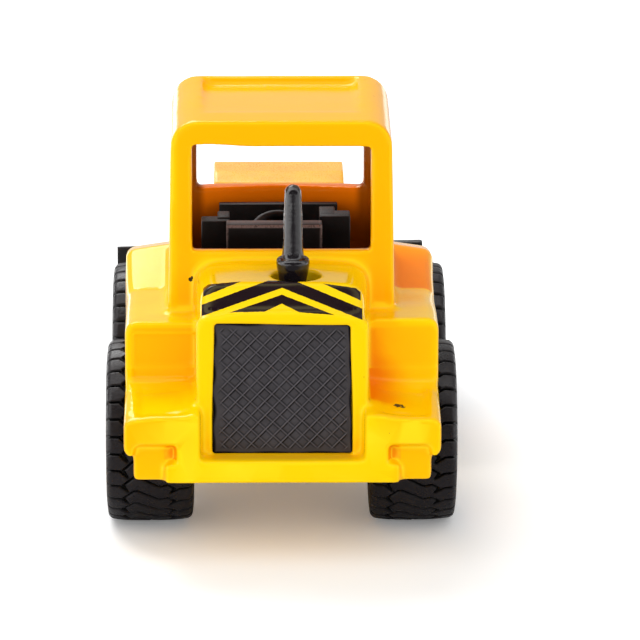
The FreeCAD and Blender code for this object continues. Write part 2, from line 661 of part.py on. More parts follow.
def buildBoom():
    outer = prism("BoomOuter", "YZ_Plane", [
        (ahead("liftAhead - 1.5"), f"{liftZ} - 2"), (ahead("liftAhead - 2.5"), liftZ),
        (ahead("liftAhead - 2.2"), f"{liftZ} + 2"), (ahead("liftAhead + 1.8"), f"{crestTop} - 2.4"),
        (ahead("liftAhead + 0.4"), f"{crestTop} - 0.9"), (ahead("liftAhead + 0.4"), f"{crestTop} - 0.55"),
        (ahead("crestAhead - 5.4"), crestTop), (ahead("crestAhead - 0.6"), f"{crestTop} - 0.1"),
        (ahead("crestAhead + 0.5"), f"{crestTop} - 1.2"), (ahead("crestAhead + 2.6"), f"{tiltZ} + 13"),
        (ahead("tiltAhead + 1.5"), f"{tiltZ} + 1.4"), (ahead("tiltAhead + tipRound"), tiltZ),
        (ahead("tiltAhead + 0.9"), f"{tiltZ} - 1.5"), (ahead("tiltAhead - 0.9"), f"{tiltZ} - 1.5"),
        (ahead("tiltAhead - 1.9"), f"{tiltZ} + 0.6"), (ahead("crestAhead - 1"), f"{tiltZ} + 13.2"),
        (ahead("crestAhead - 3"), f"{crestTop} - 6.2"), (ahead("liftAhead + 4.4"), f"{crestTop} - 7"),
        (ahead("liftAhead + 2.4"), liftZ), (ahead("liftAhead + 1.5"), f"{liftZ} - 2")],
        "2 * boomHalf")
    inner = prism("BoomInner", "YZ_Plane", [
        (ahead("liftAhead - 8"), f"{liftZ} - 6"), (ahead("liftAhead - 8"), f"{liftZ} + 3.4"),
        (ahead("liftAhead + 2.2"), f"{liftZ} + 6"), (ahead("liftAhead + 3.4"), f"{crestTop} - 3.2"),
        (ahead("crestAhead - 4.8"), f"{crestTop} - 1.4"), (ahead("crestAhead - 1.3"), f"{crestTop} - 1.5"),
        (ahead("crestAhead - 0.9"), f"{crestTop} - 2.2"), (ahead("crestAhead + 1.3"), f"{tiltZ} + 12.6"),
        (ahead("crestAhead + 3.4"), f"{tiltZ} + 8.4"), (ahead("tiltAhead + 6"), f"{tiltZ} + 8.4"),
        (ahead("tiltAhead + 6"), f"{tiltZ} - 6")],
        "2 * (boomHalf - boomPlate)")
    liftHole = rod("BoomLiftHole", "liftPin + pinFit", ("0 - deckHalf", "deckHalf"),
                   ahead("liftAhead"), liftZ)
    tiltHole = rod("BoomTiltHole", "tiltPin + pressFit", ("0 - deckHalf", "deckHalf"),
                   ahead("tiltAhead"), tiltZ)
    finished(cut("BoomCut", outer, inner, liftHole, tiltHole), "boom")
    end = "(boomHalf + 0.25)"
    finished(rod("LiftPinRod", "liftPin", (f"0 - {end}", end), ahead("liftAhead"), liftZ),
             "boom_pivot_pin")
    end = "(boomHalf + sideGap + lugThick + 0.2)"
    finished(rod("TiltPinRod", "tiltPin", (f"0 - {end}", end), ahead("tiltAhead"), tiltZ),
             "bucket_pivot_pin")


def buildBucket():
    top = "(bucketFloor + bucketTall)"
    outer = prism("BucketOuter", "YZ_Plane", [
        (ahead("bucketBack - 1.3"), top), (ahead("bucketBack"), "bucketFloor + 4.2"),
        (ahead("bucketBack + 0.9"), "bucketFloor + 1.4"), (ahead("bucketBack + 3"), "bucketFloor"),
        (lipY, "bucketFloor"), (lipY, "bucketFloor + lipThick"), (f"{lipY} - 7", "bucketFloor + 6"),
        (ahead("bucketBack + 2.4"), f"{top} - 1")], "2 * bucketHalf")
    inner = prism("BucketInner", "YZ_Plane", [
        (ahead("bucketBack - 1.3 + bucketWall"), f"{top} + 1"),
        (ahead("bucketBack + bucketWall"), "bucketFloor + 4.4"),
        (ahead("bucketBack + 0.7 + bucketWall"), "bucketFloor + 2.2"),
        (ahead("bucketBack + 3.2"), "bucketFloor + bucketWall"),
        (f"{lipY} - 1", "bucketFloor + bucketWall * 0.75"), (f"{lipY} + 1", "bucketFloor + lipThick"),
        (f"{lipY} + 1", f"{top} + 1")], "2 * (bucketHalf - bucketWall)")
    lugs = prism("BucketLugs", "YZ_Plane", [
        (ahead("bucketBack + 0.3"), f"{tiltZ} + 5"), (ahead("tiltAhead + 0.4"), f"{tiltZ} + 2.4"),
        (ahead("tiltAhead - tipRound"), f"{tiltZ} + 0.9"),
        (ahead("tiltAhead - tipRound"), f"{tiltZ} - 1"),
        (ahead("tiltAhead - 0.4"), f"{tiltZ} - 1.9"), (ahead("bucketBack + 1"), "bucketFloor + 1.9")],
        "2 * (boomHalf + sideGap + lugThick)")
    way = block("BoomWay", ("0 - boomHalf - sideGap", "boomHalf + sideGap"),
                (ahead("tiltAhead - 4"), ahead("bucketBack - 0.1")), ("0", f"{top} - 2"))
    tiltHole = rod("BucketTiltHole", "tiltPin + pinFit", ("0 - deckHalf", "deckHalf"),
                   ahead("tiltAhead"), tiltZ)
    ears = cut("LugPair", lugs, way, tiltHole)
    for half in (outer, inner):
        place(half, "0 - bucketShift")
    shell = cut("BucketShell", outer, inner)
    finished(fuse("Bucket", shell, ears), "bucket")


def main():
    buildBody()
    buildBase()
    buildRivets()
    buildGrille()
    buildStack()
    buildInterior()
    buildWheels()
    buildBoom()
    buildBucket()
    doc.recompute()
    for thing in doc.Objects:
        if "Invalid" in thing.State or "Error" in thing.State:
            raise RuntimeError(f"{thing.Label} did not build: {thing.State}")
    os.makedirs("parts", exist_ok=True)
    for thing in kept:
        shape = thing.Shape
        if shape.isNull() or not shape.isValid():
            raise RuntimeError(f"{thing.Label} has no valid shape")
        shape.exportStep(f"parts/{thing.Label}.step")
        box = shape.BoundBox
        print(f"{thing.Label}: {len(shape.Solids)} solid, {shape.Volume:.1f} mm3,",
              f"x {box.XMin:.2f} {box.XMax:.2f} y {box.YMin:.2f} {box.YMax:.2f} z {box.ZMin:.2f} {box.ZMax:.2f}")


main()
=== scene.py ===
import math

import bpy
import numpy as np
from mathutils import Matrix, Vector


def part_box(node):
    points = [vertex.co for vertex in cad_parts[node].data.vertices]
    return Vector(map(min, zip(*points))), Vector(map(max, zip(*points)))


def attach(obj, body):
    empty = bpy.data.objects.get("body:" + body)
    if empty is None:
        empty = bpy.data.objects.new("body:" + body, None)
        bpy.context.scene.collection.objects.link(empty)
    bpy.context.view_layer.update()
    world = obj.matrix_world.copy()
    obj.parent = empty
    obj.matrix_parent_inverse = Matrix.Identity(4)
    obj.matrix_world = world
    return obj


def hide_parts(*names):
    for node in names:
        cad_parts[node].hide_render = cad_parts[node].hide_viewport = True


# Pocket-size die-cast wheel loader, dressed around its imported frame.
# Shapes are worked out in millimetres and turned into metres as they are made.

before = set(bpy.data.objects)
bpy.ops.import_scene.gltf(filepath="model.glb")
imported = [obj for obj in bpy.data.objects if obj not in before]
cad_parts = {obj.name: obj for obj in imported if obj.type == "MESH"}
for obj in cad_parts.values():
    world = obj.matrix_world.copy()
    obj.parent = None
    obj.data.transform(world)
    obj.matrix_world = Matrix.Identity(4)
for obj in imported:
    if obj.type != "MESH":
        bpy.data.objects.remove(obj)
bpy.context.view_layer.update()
print("frame loaded:", len(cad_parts), "nodes")
finishes = {}
perMetre = 1000  # millimetres
onAxis = 0.001   # radius that closes a turned shape on its own axis
far = 99         # past every piece, for a limit that is open on one side

# the toy seen from behind and a little above
camera = dict(yaw=0.5, pitch=15.0, distance=0.5518, lift=0.0130, lens=307.9, shift=(0.0608, -0.0313),
              clip=(0.02, 20))


def addCamera():
    turn, tip = math.radians(camera["yaw"]), math.radians(camera["pitch"])
    ahead = Vector((math.sin(turn) * math.cos(tip), math.cos(turn) * math.cos(tip), -math.sin(tip)))
    right = Vector((math.cos(turn), -math.sin(turn), 0))
    up = right.cross(ahead)
    low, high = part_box("rear_axle")
    target = Vector((0, (low.y + high.y) / 2, (low.z + high.z) / 2))
    cam = bpy.data.objects.new("Camera", bpy.data.cameras.new("Camera"))
    bpy.context.scene.collection.objects.link(cam)
    eye = target + up * camera["lift"] - ahead * camera["distance"]
    cam.matrix_world = Matrix.Translation(eye) @ Matrix((right, up, -ahead)).transposed().to_4x4()
    cam.data.lens = camera["lens"]
    cam.data.shift_x, cam.data.shift_y = camera["shift"]
    cam.data.clip_start, cam.data.clip_end = camera["clip"]
    bpy.context.scene.camera = cam


# mesh tools

def linkMesh(name, mesh):
    thing = bpy.data.objects.new(name, mesh)
    bpy.context.scene.collection.objects.link(thing)
    return thing


def makeObject(name, verts, faces):
    mesh = bpy.data.meshes.new(name)
    mesh.from_pydata([tuple(v) for v in verts], [], [tuple(f) for f in faces])
    mesh.update()
    return linkMesh(name, mesh)


def coords(mesh):
    flat = np.empty(len(mesh.vertices) * 3)
    mesh.vertices.foreach_get("co", flat)
    return flat.reshape(-1, 3)


def setCoords(mesh, spots):
    mesh.vertices.foreach_set("co", np.ascontiguousarray(spots, dtype=np.float32).ravel())
    mesh.update()


def normals(mesh):
    flat = np.empty(len(mesh.vertices) * 3, dtype=np.float32)
    mesh.vertex_normals.foreach_get("vector", flat)
    return flat.reshape(-1, 3).astype(float)


def edgePairs(mesh):
    flat = np.empty(len(mesh.edges) * 2, dtype=np.int32)
    mesh.edges.foreach_get("vertices", flat)
    return flat.reshape(-1, 2)


def nodeShape(node):
    # a frame node as (corners in millimetres, faces)
    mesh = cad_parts[node].data
    return coords(mesh) * perMetre, [tuple(p.vertices) for p in mesh.polygons]


def nodeBox(node):
    low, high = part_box(node)
    return np.array(low) * perMetre, np.array(high) * perMetre


def nodeSpan(node):
    # centre and half sizes
    low, high = nodeBox(node)
    return (low + high) / 2, (high - low) / 2


def boxShape(low, high):
    x0, y0, z0 = low
    x1, y1, z1 = high
    verts = [(x0, y0, z0), (x1, y0, z0), (x1, y1, z0), (x0, y1, z0),
             (x0, y0, z1), (x1, y0, z1), (x1, y1, z1), (x0, y1, z1)]
    faces = [(3, 2, 1, 0), (4, 5, 6, 7), (0, 1, 5, 4), (1, 2, 6, 5), (2, 3, 7, 6), (3, 0, 4, 7)]
    return np.array(verts), faces


def prismShape(outline, low, high):
    # an outline in depth and height, drawn out from side to side
    count = len(outline)
    verts = np.zeros((count * 2, 3))
    verts[:count, 0], verts[count:, 0] = low, high
    verts[:count, 1:] = verts[count:, 1:] = outline
    faces = [tuple(range(count))[::-1], tuple(range(count, 2 * count))]
    for k in range(count):
        after = (k + 1) % count
        faces.append((k, after, after + count, k + count))
    return verts, faces


def latheShape(profile, centre, axis, steps):
    # a closed ring of (distance along the axis, radius) turned about the axis through centre
    rows = len(profile)
    first, second = (axis + 1) % 3, (axis + 2) % 3
    angles = np.arange(steps) * 2 * math.pi / steps
    verts = np.zeros((rows * steps, 3))
    for k, (reach, radius) in enumerate(profile):
        ring = slice(k * steps, (k + 1) * steps)
        verts[ring, axis] = centre[axis] + reach
        verts[ring, first] = centre[first] + radius * np.cos(angles)
        verts[ring, second] = centre[second] + radius * np.sin(angles)
    faces = []
    for k in range(rows):
        after = (k + 1) % rows
        for j in range(steps):
            beside = (j + 1) % steps
            faces.append((k * steps + j, k * steps + beside, after * steps + beside, after * steps + j))
    return verts, faces


def joinShapes(shapes):
    verts, faces, count = [], [], 0
    for spots, rings in shapes:
        verts.append(np.asarray(spots, dtype=float))
        faces += [tuple(index + count for index in ring) for ring in rings]
        count += len(spots)
    return np.vstack(verts), faces


def evaluatedMesh(thing):
    graph = bpy.context.evaluated_depsgraph_get()
    mesh = bpy.data.meshes.new_from_object(thing.evaluated_get(graph))
    bpy.data.objects.remove(thing)
    return mesh


def relax(spots, pairs, rounds, weight=0.5):
    # pull each point towards the mean of its neighbours
    first, second = pairs[:, 0], pairs[:, 1]
    count = len(spots)
    links = np.bincount(first, minlength=count) + np.bincount(second, minlength=count)
    links = np.maximum(links, 1)[:, None]
    weight = np.asarray(weight, dtype=float)
    weight = weight[:, None] if weight.ndim else weight
    for _ in range(rounds):
        total = np.empty_like(spots)
        for axis in range(spots.shape[1]):
            total[:, axis] = (np.bincount(first, spots[second, axis], count)
                              + np.bincount(second, spots[first, axis], count))
        spots = spots + weight * (total / links - spots)
    return spots


def bend(spots, pairs, facing):
    # how hollow (+) or crowned (-) the surface is at each point, in millimetres over its neighbours
    pull = relax(spots, pairs, 1, 1.0) - spots
    return np.einsum("ij,ij->i", pull, facing)


def ease(value, start, end):
    t = np.clip((value - start) / (end - start), 0, 1)
    return t * t * (3 - 2 * t)


def region(spots, limits):
    # 1 inside and 0 outside: two numbers fade in from the first to the second, four fade in and out
    # again, and a name that ends with In is cut off hard; side is the distance from the middle
    x, y, z = spots.T
    along = dict(x=x, y=y, z=z, side=np.abs(x))
    total = np.ones(len(x))
    for name, ends in limits.items():
        value = along[name.removesuffix("In")]
        if name.endswith("In"):
            total = total * ((value > ends[0]) & (value < ends[1]))
            continue
        total = total * ease(value, *ends[:2])
        if len(ends) == 4:
            total = total * ease(value, ends[3], ends[2])
    return total


wave = dict(count=6, stretch=(0.7, 1.6), start=6.28)


def waves(spots, length, seed):
    # slow unevenness, -1 to 1
    draw = np.random.default_rng(seed)
    total = np.zeros(len(spots))
    for _ in range(wave["count"]):
        way = draw.normal(size=3)
        way *= 2 * math.pi / (length * draw.uniform(*wave["stretch"]) * np.linalg.norm(way))
        total += np.sin(spots @ way + draw.uniform(0, wave["start"]))
    return total / wave["count"]


# how a cast skin settles: first rounds, what counts as hollow and how far that spreads, length of its
# waves, and what counts as a worn crown that also takes a painted highlight, or a sink where paint pools and
# takes painted shade
skin = dict(rounds=2, hollow=(0.015, 0.06), spread=10, gain=2.5, wave=5.5, crown=(0.03, 0.12),
            sink=(0.02, 0.10), even=6)


def castShape(name, shapes, cast, sculpt=None, hold=None):
    # one skin round all the shapes, crowned edges rounded over, hollow corners filled by thick paint;
    # hold gives the places that stay as sharp as they were cut
    spots, rings = joinShapes(shapes)
    low, high = spots.min(0), spots.max(0)
    thing = makeObject(name, spots, rings)
    wrap = thing.modifiers.new("wrap", "REMESH")
    wrap.mode = "VOXEL"
    wrap.voxel_size = cast["voxel"]
    mesh = evaluatedMesh(thing)
    pairs = edgePairs(mesh)
    spots = relax(coords(mesh), pairs, skin["rounds"])
    loose = 1 - hold(spots) if hold else np.ones(len(spots))
    spots = relax(spots, pairs, cast["crisp"], loose * 0.5)
    setCoords(mesh, spots)
    hollow = ease(bend(spots, pairs, normals(mesh)) / cast["voxel"], *skin["hollow"])
    hollow = relax(hollow[:, None], pairs, skin["spread"])[:, 0] * skin["gain"]
    hollow = np.clip(hollow, 0, 1) * loose
    spots = relax(spots, pairs, cast["pool"], hollow * 0.5)
    setCoords(mesh, spots)
    facing = normals(mesh)
    uneven = cast["uneven"] * (1 + waves(spots, skin["wave"], cast["seed"]))
    spots = spots + facing * (cast["grow"] - uneven)[:, None]
    if sculpt:
        spots = sculpt(spots, facing)
    setCoords(mesh, np.clip(spots, low, high))
    thing = linkMesh(name, mesh)
    triangles = sum(len(p.vertices) - 2 for p in mesh.polygons)
    if triangles > cast["budget"]:
        thin = thing.modifiers.new("thin", "DECIMATE")
        thin.ratio = cast["budget"] / triangles
        mesh = evaluatedMesh(thing)
        thing = linkMesh(name, mesh)
    markEdges(mesh)
    setCoords(mesh, np.clip(coords(mesh), low, high) / perMetre)
    mesh.shade_smooth()
    print("cast", name, len(mesh.polygons), "faces")
    return thing


def markEdges(mesh):
    # crown: 0 on flats, 1 on worn corners that also take a painted highlight; sink: 0 on flats, 1 in corners
    # where paint pools and takes painted shade
    spots, pairs = coords(mesh), edgePairs(mesh)
    step = np.linalg.norm(spots[pairs[:, 0]] - spots[pairs[:, 1]], axis=1).mean()
    turn = relax((bend(spots, pairs, normals(mesh)) / step)[:, None], pairs, skin["even"])[:, 0]
    paintLayer(mesh, "crown", ease(-turn, *skin["crown"]))
    paintLayer(mesh, "sink", ease(turn, *skin["sink"]))


def paintLayer(mesh, name, value):
    paint = mesh.attributes.get(name) or mesh.attributes.new(name, "FLOAT", "POINT")
    paint.data.foreach_set("value", np.clip(value, 0, 1).astype(np.float32))


def plainShape(name, shapes, sharp=35):
    # crisp geometry kept as it is drawn, smooth over its gentle turns
    spots, rings = joinShapes(shapes)
    thing = makeObject(name, spots / perMetre, rings)
    thing.data.shade_smooth()
    thing.data.set_sharp_from_angle(angle=math.radians(sharp))
    return thing


def finish(thing, material, body, node):
    thing.data.materials.clear()
    thing.data.materials.append(finishes[material])
    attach(thing, body)
    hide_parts(node)


# material tools

def newFinish(name):
    material = bpy.data.materials.new(name)
    material.use_nodes = True
    finishes[name] = material
    tree = material.node_tree
    return tree, tree.nodes["Principled BSDF"]


def feed(tree, socket, value):
    # another node's output is linked, a plain value is set on the socket itself
    if isinstance(value, bpy.types.NodeSocket):
        tree.links.new(value, socket)
    elif socket.type == "RGBA":
        socket.default_value = (*value, 1)
    else:
        socket.default_value = value


def put(tree, kind, inputs=None, **settings):
    node = tree.nodes.new(kind)
    for key, value in settings.items():
        setattr(node, key, value)
    for key, value in (inputs or {}).items():
        feed(tree, node.inputs[key], value)
    return node


def calc(tree, operation, *values):
    node = put(tree, "ShaderNodeMath", dict(enumerate(values)), operation=operation)
    return node.outputs[0]


def times(tree, *values):
    result = values[0]
    for value in values[1:]:
        result = calc(tree, "MULTIPLY", result, value)
    return result


def most(tree, *values):
    result = values[0]
    for value in values[1:]:
        result = calc(tree, "MAXIMUM", result, value)
    return result


def tint(tree, amount, first, second):
    return put(tree, "ShaderNodeMix", {0: amount, 6: first, 7: second}, data_type="RGBA").outputs[2]


def place(tree):
    # the point on the piece, in millimetres
    spot = put(tree, "ShaderNodeTexCoord").outputs["Object"]
    return put(tree, "ShaderNodeVectorMath", {0: spot, "Scale": perMetre}, operation="SCALE").outputs[0]


def axesOf(tree, where):
    x, y, z = put(tree, "ShaderNodeSeparateXYZ", {0: where}).outputs
    return dict(x=x, y=y, z=z)


def grain(tree, where, scale, detail=3.0):
    return put(tree, "ShaderNodeTexNoise",
               {"Vector": where, "Scale": scale, "Detail": detail, "Roughness": 0.55}).outputs["Fac"]


def ramp(tree, value, low, high, start=0.0, end=1.0):
    return put(tree, "ShaderNodeMapRange",
               {"Value": value, "From Min": low, "From Max": high, "To Min": start, "To Max": end},
               interpolation_type="SMOOTHSTEP").outputs[0]


def shaderRegion(tree, axes, limits):
    # as region, for a material
    parts = []
    for name, ends in limits.items():
        parts.append(ramp(tree, axes[name], *ends[:2]))
        if len(ends) == 4:
            parts.append(ramp(tree, axes[name], ends[3], ends[2]))
    return times(tree, *parts)


def painted(tree, name):
    return put(tree, "ShaderNodeAttribute", attribute_name=name).outputs["Fac"]


def bump(tree, height, strength, depth):
    return put(tree, "ShaderNodeBump",
               {"Height": height, "Strength": strength, "Distance": depth}).outputs["Normal"]


def fit(tree, shader, links):
    for key, value in links.items():
        feed(tree, shader.inputs[key], value)


fleck = dict(patch=0.5, patchy=(0.5, 0.8, 0.0, 0.05))


def flecks(tree, where, scale):
    # lint and dust: tiny pale dots that come in patches
    cells = put(tree, "ShaderNodeTexVoronoi", {"Vector": where, "Scale": scale})
    size = ramp(tree, grain(tree, where, fleck["patch"]), *fleck["patchy"])
    return calc(tree, "LESS_THAN", cells.outputs["Distance"], size)


# yellow enamel on the casting: clouds of deeper colour, paler on worn crowns that also take a painted
# highlight, deeper where paint pools in corners and where shade is painted, painted light and painted shadow
# in set places, orange peel, grit under the coat and a few flakes knocked out of it
enamel = dict(
    # the paler yellows are for worn crowns, painted highlight and painted light; the deeper ones for cloudy
    # colour, pooled paint and painted shade; the dark orange and the brown are painted shadow and shade
    yellow=(0.99, 0.575, 0.0006), deep=(0.985, 0.43, 0.0004), thin=(0.99, 0.70, 0.012),
    litLemon=(0.99, 0.61, 0.0010), shadowAmber=(0.88, 0.20, 0.001), shade=(0.20, 0.040, 0.0006),
    ink=(0.012, 0.0045, 0.009), bare=(0.022, 0.013, 0.007), mirror=(1.0, 0.92, 0.34), index=1.30,
    cloud=0.16, cloudy=(0.35, 0.65, 0.0, 0.35), pooled=0.45, rubbedAndLit=0.75,
    peel=1.5, fine=9.0, fineHeight=0.12, gloss=(0.3, 0.7, 0.07, 0.18), printGloss=0.03,
    bump=(0.35, 0.00004), gritCell=0.55, gritPatch=0.4, gritSize=(0.45, 0.7, 0.0, 0.10), grit=0.55,
    flakeEdge=3.2, flakeSharp=0.9, flakeGloss=0.3, flakeDepth=-1.2,
    # x, y, z and radius of each flake
    flakes=[(11.4, -35.45, 15.6, 0.40), (11.8, -35.75, 15.6, 0.24), (11.65, -37.2, 15.8, 0.34),
            (-9.05, -26.45, 26.0, 0.15), (-8.85, -26.45, 26.25, 0.13), (8.4, -27.2, 26.4, 0.13)])
# painted shade inside the cab: dark orange high up, dark brown towards its floor and on its side walls
cabInsideShade = dict(walls=dict(side=(10.05, 9.85), y=(-25.9, -25.3, -9.4, -9.0), z=(40.4, 40.2)),
               flank=(7.4, 8.4, 0.0, 0.8), floor=(27.5, 31.5))
# black chevrons on the rear of the hood; a line is its height at the middle and its fall to the sides
chevrons = dict(
    slope=15, shift=0.03, roll=0.026, soft=0.02, edge=2.5, ragged=0.10,
    hood=dict(y=(-32.9, -33.0), z=(24.0, 24.1)),
    stripes=[dict(over=[(17.37, 0.376)], under=[(18.59, 0.389), (18.07, 0.0)], half=7.85),
             dict(over=[(15.10, 0.05), (15.84, 0.485)], under=[(16.71, 0.364)], half=far),
             dict(over=[(19.61, 0.427)], under=[(18.37, 0.115), (23.31, 0.8)], half=7.7)])


def flakeMask(tree, where):
    # small flakes of missing paint: a noisy disc round each place
    ragged = calc(tree, "SUBTRACT", grain(tree, where, enamel["flakeEdge"], 2.0), 0.5)
    discs = []
    for x, y, z, size in enamel["flakes"]:
        away = put(tree, "ShaderNodeVectorMath", {0: where, 1: (x, y, z)}, operation="DISTANCE")
        edge = calc(tree, "ADD", away.outputs["Value"], ragged)
        discs.append(ramp(tree, edge, size, size * enamel["flakeSharp"]))
    return most(tree, *discs)


def stripeMask(tree, where, axes):
    # printed square to a line that looks down on the hood's slope
    slope, soft = math.radians(chevrons["slope"]), chevrons["soft"]
    ragged = calc(tree, "SUBTRACT", grain(tree, where, chevrons["edge"], 2.0), 0.5)
    across = calc(tree, "ADD", axes["x"], chevrons["shift"])
    side = calc(tree, "ABSOLUTE", across)
    lift = calc(tree, "MULTIPLY", axes["y"], math.sin(slope))
    lift = calc(tree, "MULTIPLY_ADD", axes["z"], math.cos(slope), lift)
    lift = calc(tree, "MULTIPLY_ADD", across, chevrons["roll"], lift)
    lift = calc(tree, "MULTIPLY_ADD", ragged, chevrons["ragged"], lift)
    stripes = []
    for stripe in chevrons["stripes"]:
        parts = [ramp(tree, side, stripe["half"] + soft, stripe["half"] - soft)]
        for way, lines in ((1, stripe["over"]), (-1, stripe["under"])):
            for level, fall in lines:
                line = calc(tree, "MULTIPLY_ADD", side, fall, lift)
                parts.append(ramp(tree, line, level - way * soft, level + way * soft))
        stripes.append(times(tree, *parts))
    return times(tree, most(tree, *stripes), shaderRegion(tree, axes, chevrons["hood"]))


def addEnamel(name, printed):
    tree, shader = newFinish(name)
    where = place(tree)
    cloud = grain(tree, where, enamel["cloud"])
    peel = grain(tree, where, enamel["peel"], 2.0)
    fine = grain(tree, where, enamel["fine"])
    colour = tint(tree, ramp(tree, cloud, *enamel["cloudy"]), enamel["yellow"], enamel["deep"])
    # painted light: a paler yellow where more light falls
    colour = tint(tree, painted(tree, "pale"), colour, enamel["litLemon"])
    # painted shade in set places, and in hollow corners where paint pools and takes painted shade too
    poolAndShade = most(tree, painted(tree, "paintedShade"), times(tree, painted(tree, "sink"), enamel["pooled"]))
    colour = tint(tree, poolAndShade, colour, enamel["deep"])
    # painted shadow in dark orange
    colour = tint(tree, painted(tree, "nookShade"), colour, enamel["shadowAmber"])
    # paler on crowns: worn paint, and a painted highlight
    colour = tint(tree, times(tree, painted(tree, "crown"), enamel["rubbedAndLit"]), colour, enamel["thin"])
    gloss = ramp(tree, fine, *enamel["gloss"])
    # grit under the paint: sparse dark specks
    speck = put(tree, "ShaderNodeTexVoronoi", {"Vector": where, "Scale": enamel["gritCell"]})
    size = ramp(tree, grain(tree, where, enamel["gritPatch"], 1.0), *enamel["gritSize"])
    away = calc(tree, "DIVIDE", speck.outputs["Distance"], enamel["gritCell"])
    grit = times(tree, calc(tree, "LESS_THAN", away, size), enamel["grit"])
    colour = tint(tree, grit, colour, enamel["bare"])
    height = calc(tree, "MULTIPLY_ADD", fine, enamel["fineHeight"], peel)
    if printed:
        axes = axesOf(tree, where)
        axes["side"] = calc(tree, "ABSOLUTE", axes["x"])
        # painted shade inside the cab
        inner = tint(tree, ramp(tree, axes["z"], *cabInsideShade["floor"]), enamel["shade"], enamel["shadowAmber"])
        inner = tint(tree, ramp(tree, axes["side"], *cabInsideShade["flank"]), inner, enamel["shade"])
        colour = tint(tree, shaderRegion(tree, axes, cabInsideShade["walls"]), colour, inner)
        marks = stripeMask(tree, where, axes)
        colour = tint(tree, marks, colour, enamel["ink"])
        gloss = calc(tree, "MULTIPLY_ADD", marks, enamel["printGloss"], gloss)
        flakes = flakeMask(tree, where)
        colour = tint(tree, flakes, colour, enamel["bare"])
        gloss = calc(tree, "MULTIPLY_ADD", flakes, enamel["flakeGloss"], gloss)
        height = calc(tree, "MULTIPLY_ADD", flakes, enamel["flakeDepth"], height)
    fit(tree, shader, {"Base Color": colour, "Roughness": gloss, "Specular IOR Level": 0.5,
                       "Normal": bump(tree, height, *enamel["bump"]), "IOR": enamel["index"],
                       "Specular Tint": enamel["mirror"]})


# tyre rubber: dusty in clouds, with painted shade near black in its grooves
rubber = dict(black=(0.0135, 0.0112, 0.0128), dust=(0.022, 0.0185, 0.021), deep=(0.0006, 0.0005, 0.0005),
              lint=(0.5, 0.48, 0.45), cloud=0.6, fine=14.0, dusty=(0.5, 0.75, 0.0, 0.5),
              groove=(0.05, 0.6), fleck=0.7, linty=0.8, gloss=(0.3, 0.7, 0.23, 0.41), ripple=3.0,
              rippled=2.5, bump=(0.4, 0.00004), specular=0.22)


def addRubber(name):
    tree, shader = newFinish(name)
    where = place(tree)
    cloud, fine = grain(tree, where, rubber["cloud"], 4.0), grain(tree, where, rubber["fine"])
    colour = tint(tree, ramp(tree, cloud, *rubber["dusty"]), rubber["black"], rubber["dust"])
    # painted shade: near black in the grooves
    groove = ramp(tree, painted(tree, "groove"), *rubber["groove"])
    colour = tint(tree, groove, colour, rubber["deep"])
    lint = times(tree, flecks(tree, where, rubber["fleck"]), rubber["linty"])
    colour = tint(tree, lint, colour, rubber["lint"])
    height = calc(tree, "MULTIPLY_ADD", grain(tree, where, rubber["ripple"], 2.0), rubber["rippled"], fine)
    fit(tree, shader, {"Base Color": colour, "Roughness": ramp(tree, cloud, *rubber["gloss"]),
                       "Normal": bump(tree, height, *rubber["bump"]),
                       "Specular IOR Level": rubber["specular"]})


# moulded plastics: colour and its cloudy second colour, gloss, scale and depth of the texture
plastics = dict(
    grillePlastic=dict(colour=(0.043, 0.0395, 0.044), shade=(0.054, 0.0500, 0.056), gloss=0.46,
                       texture=6.0, depth=0.00003, specular=0.12, coat=0.0),
    pipePlastic=dict(colour=(0.0060, 0.0042, 0.0058), shade=(0.010, 0.0075, 0.0095), gloss=0.13,
                     texture=2.0, depth=0.00022, specular=0.4, coat=0.25),
    cabPlastic=dict(colour=(0.0050, 0.0032, 0.0026), shade=(0.008, 0.0055, 0.0045), gloss=0.50,
                    texture=5.0, depth=0.00003, specular=0.25, coat=0.0),
    bucketPlastic=dict(colour=(0.010, 0.0098, 0.010), shade=(0.017, 0.016, 0.017), gloss=0.40,
                       texture=8.0, depth=0.00003, specular=0.5, coat=0.0),
    yellowPlastic=dict(colour=(0.90, 0.44, 0.004), shade=(0.84, 0.38, 0.003), gloss=0.28,
                       texture=7.0, depth=0.00003, specular=0.5, coat=0.1))
# what they share: painted shade in grooves and painted highlight on crests, the worn places that also take a
# painted highlight, and the dusty places
moulded = dict(cloud=0.5, cloudy=(0.35, 0.7), groove=0.03, crest=2.2, rubCell=5.0,
               rubbedAndLit=(0.3, 0.55, 0.35, 1.0), bare=(0.17, 0.115, 0.10), fleck=0.5, dusty=0.5,
               dust=(0.35, 0.34, 0.33), fine=(0.3, 0.7), glossSpread=(-0.04, 0.08), bump=0.3, coatGloss=0.08)


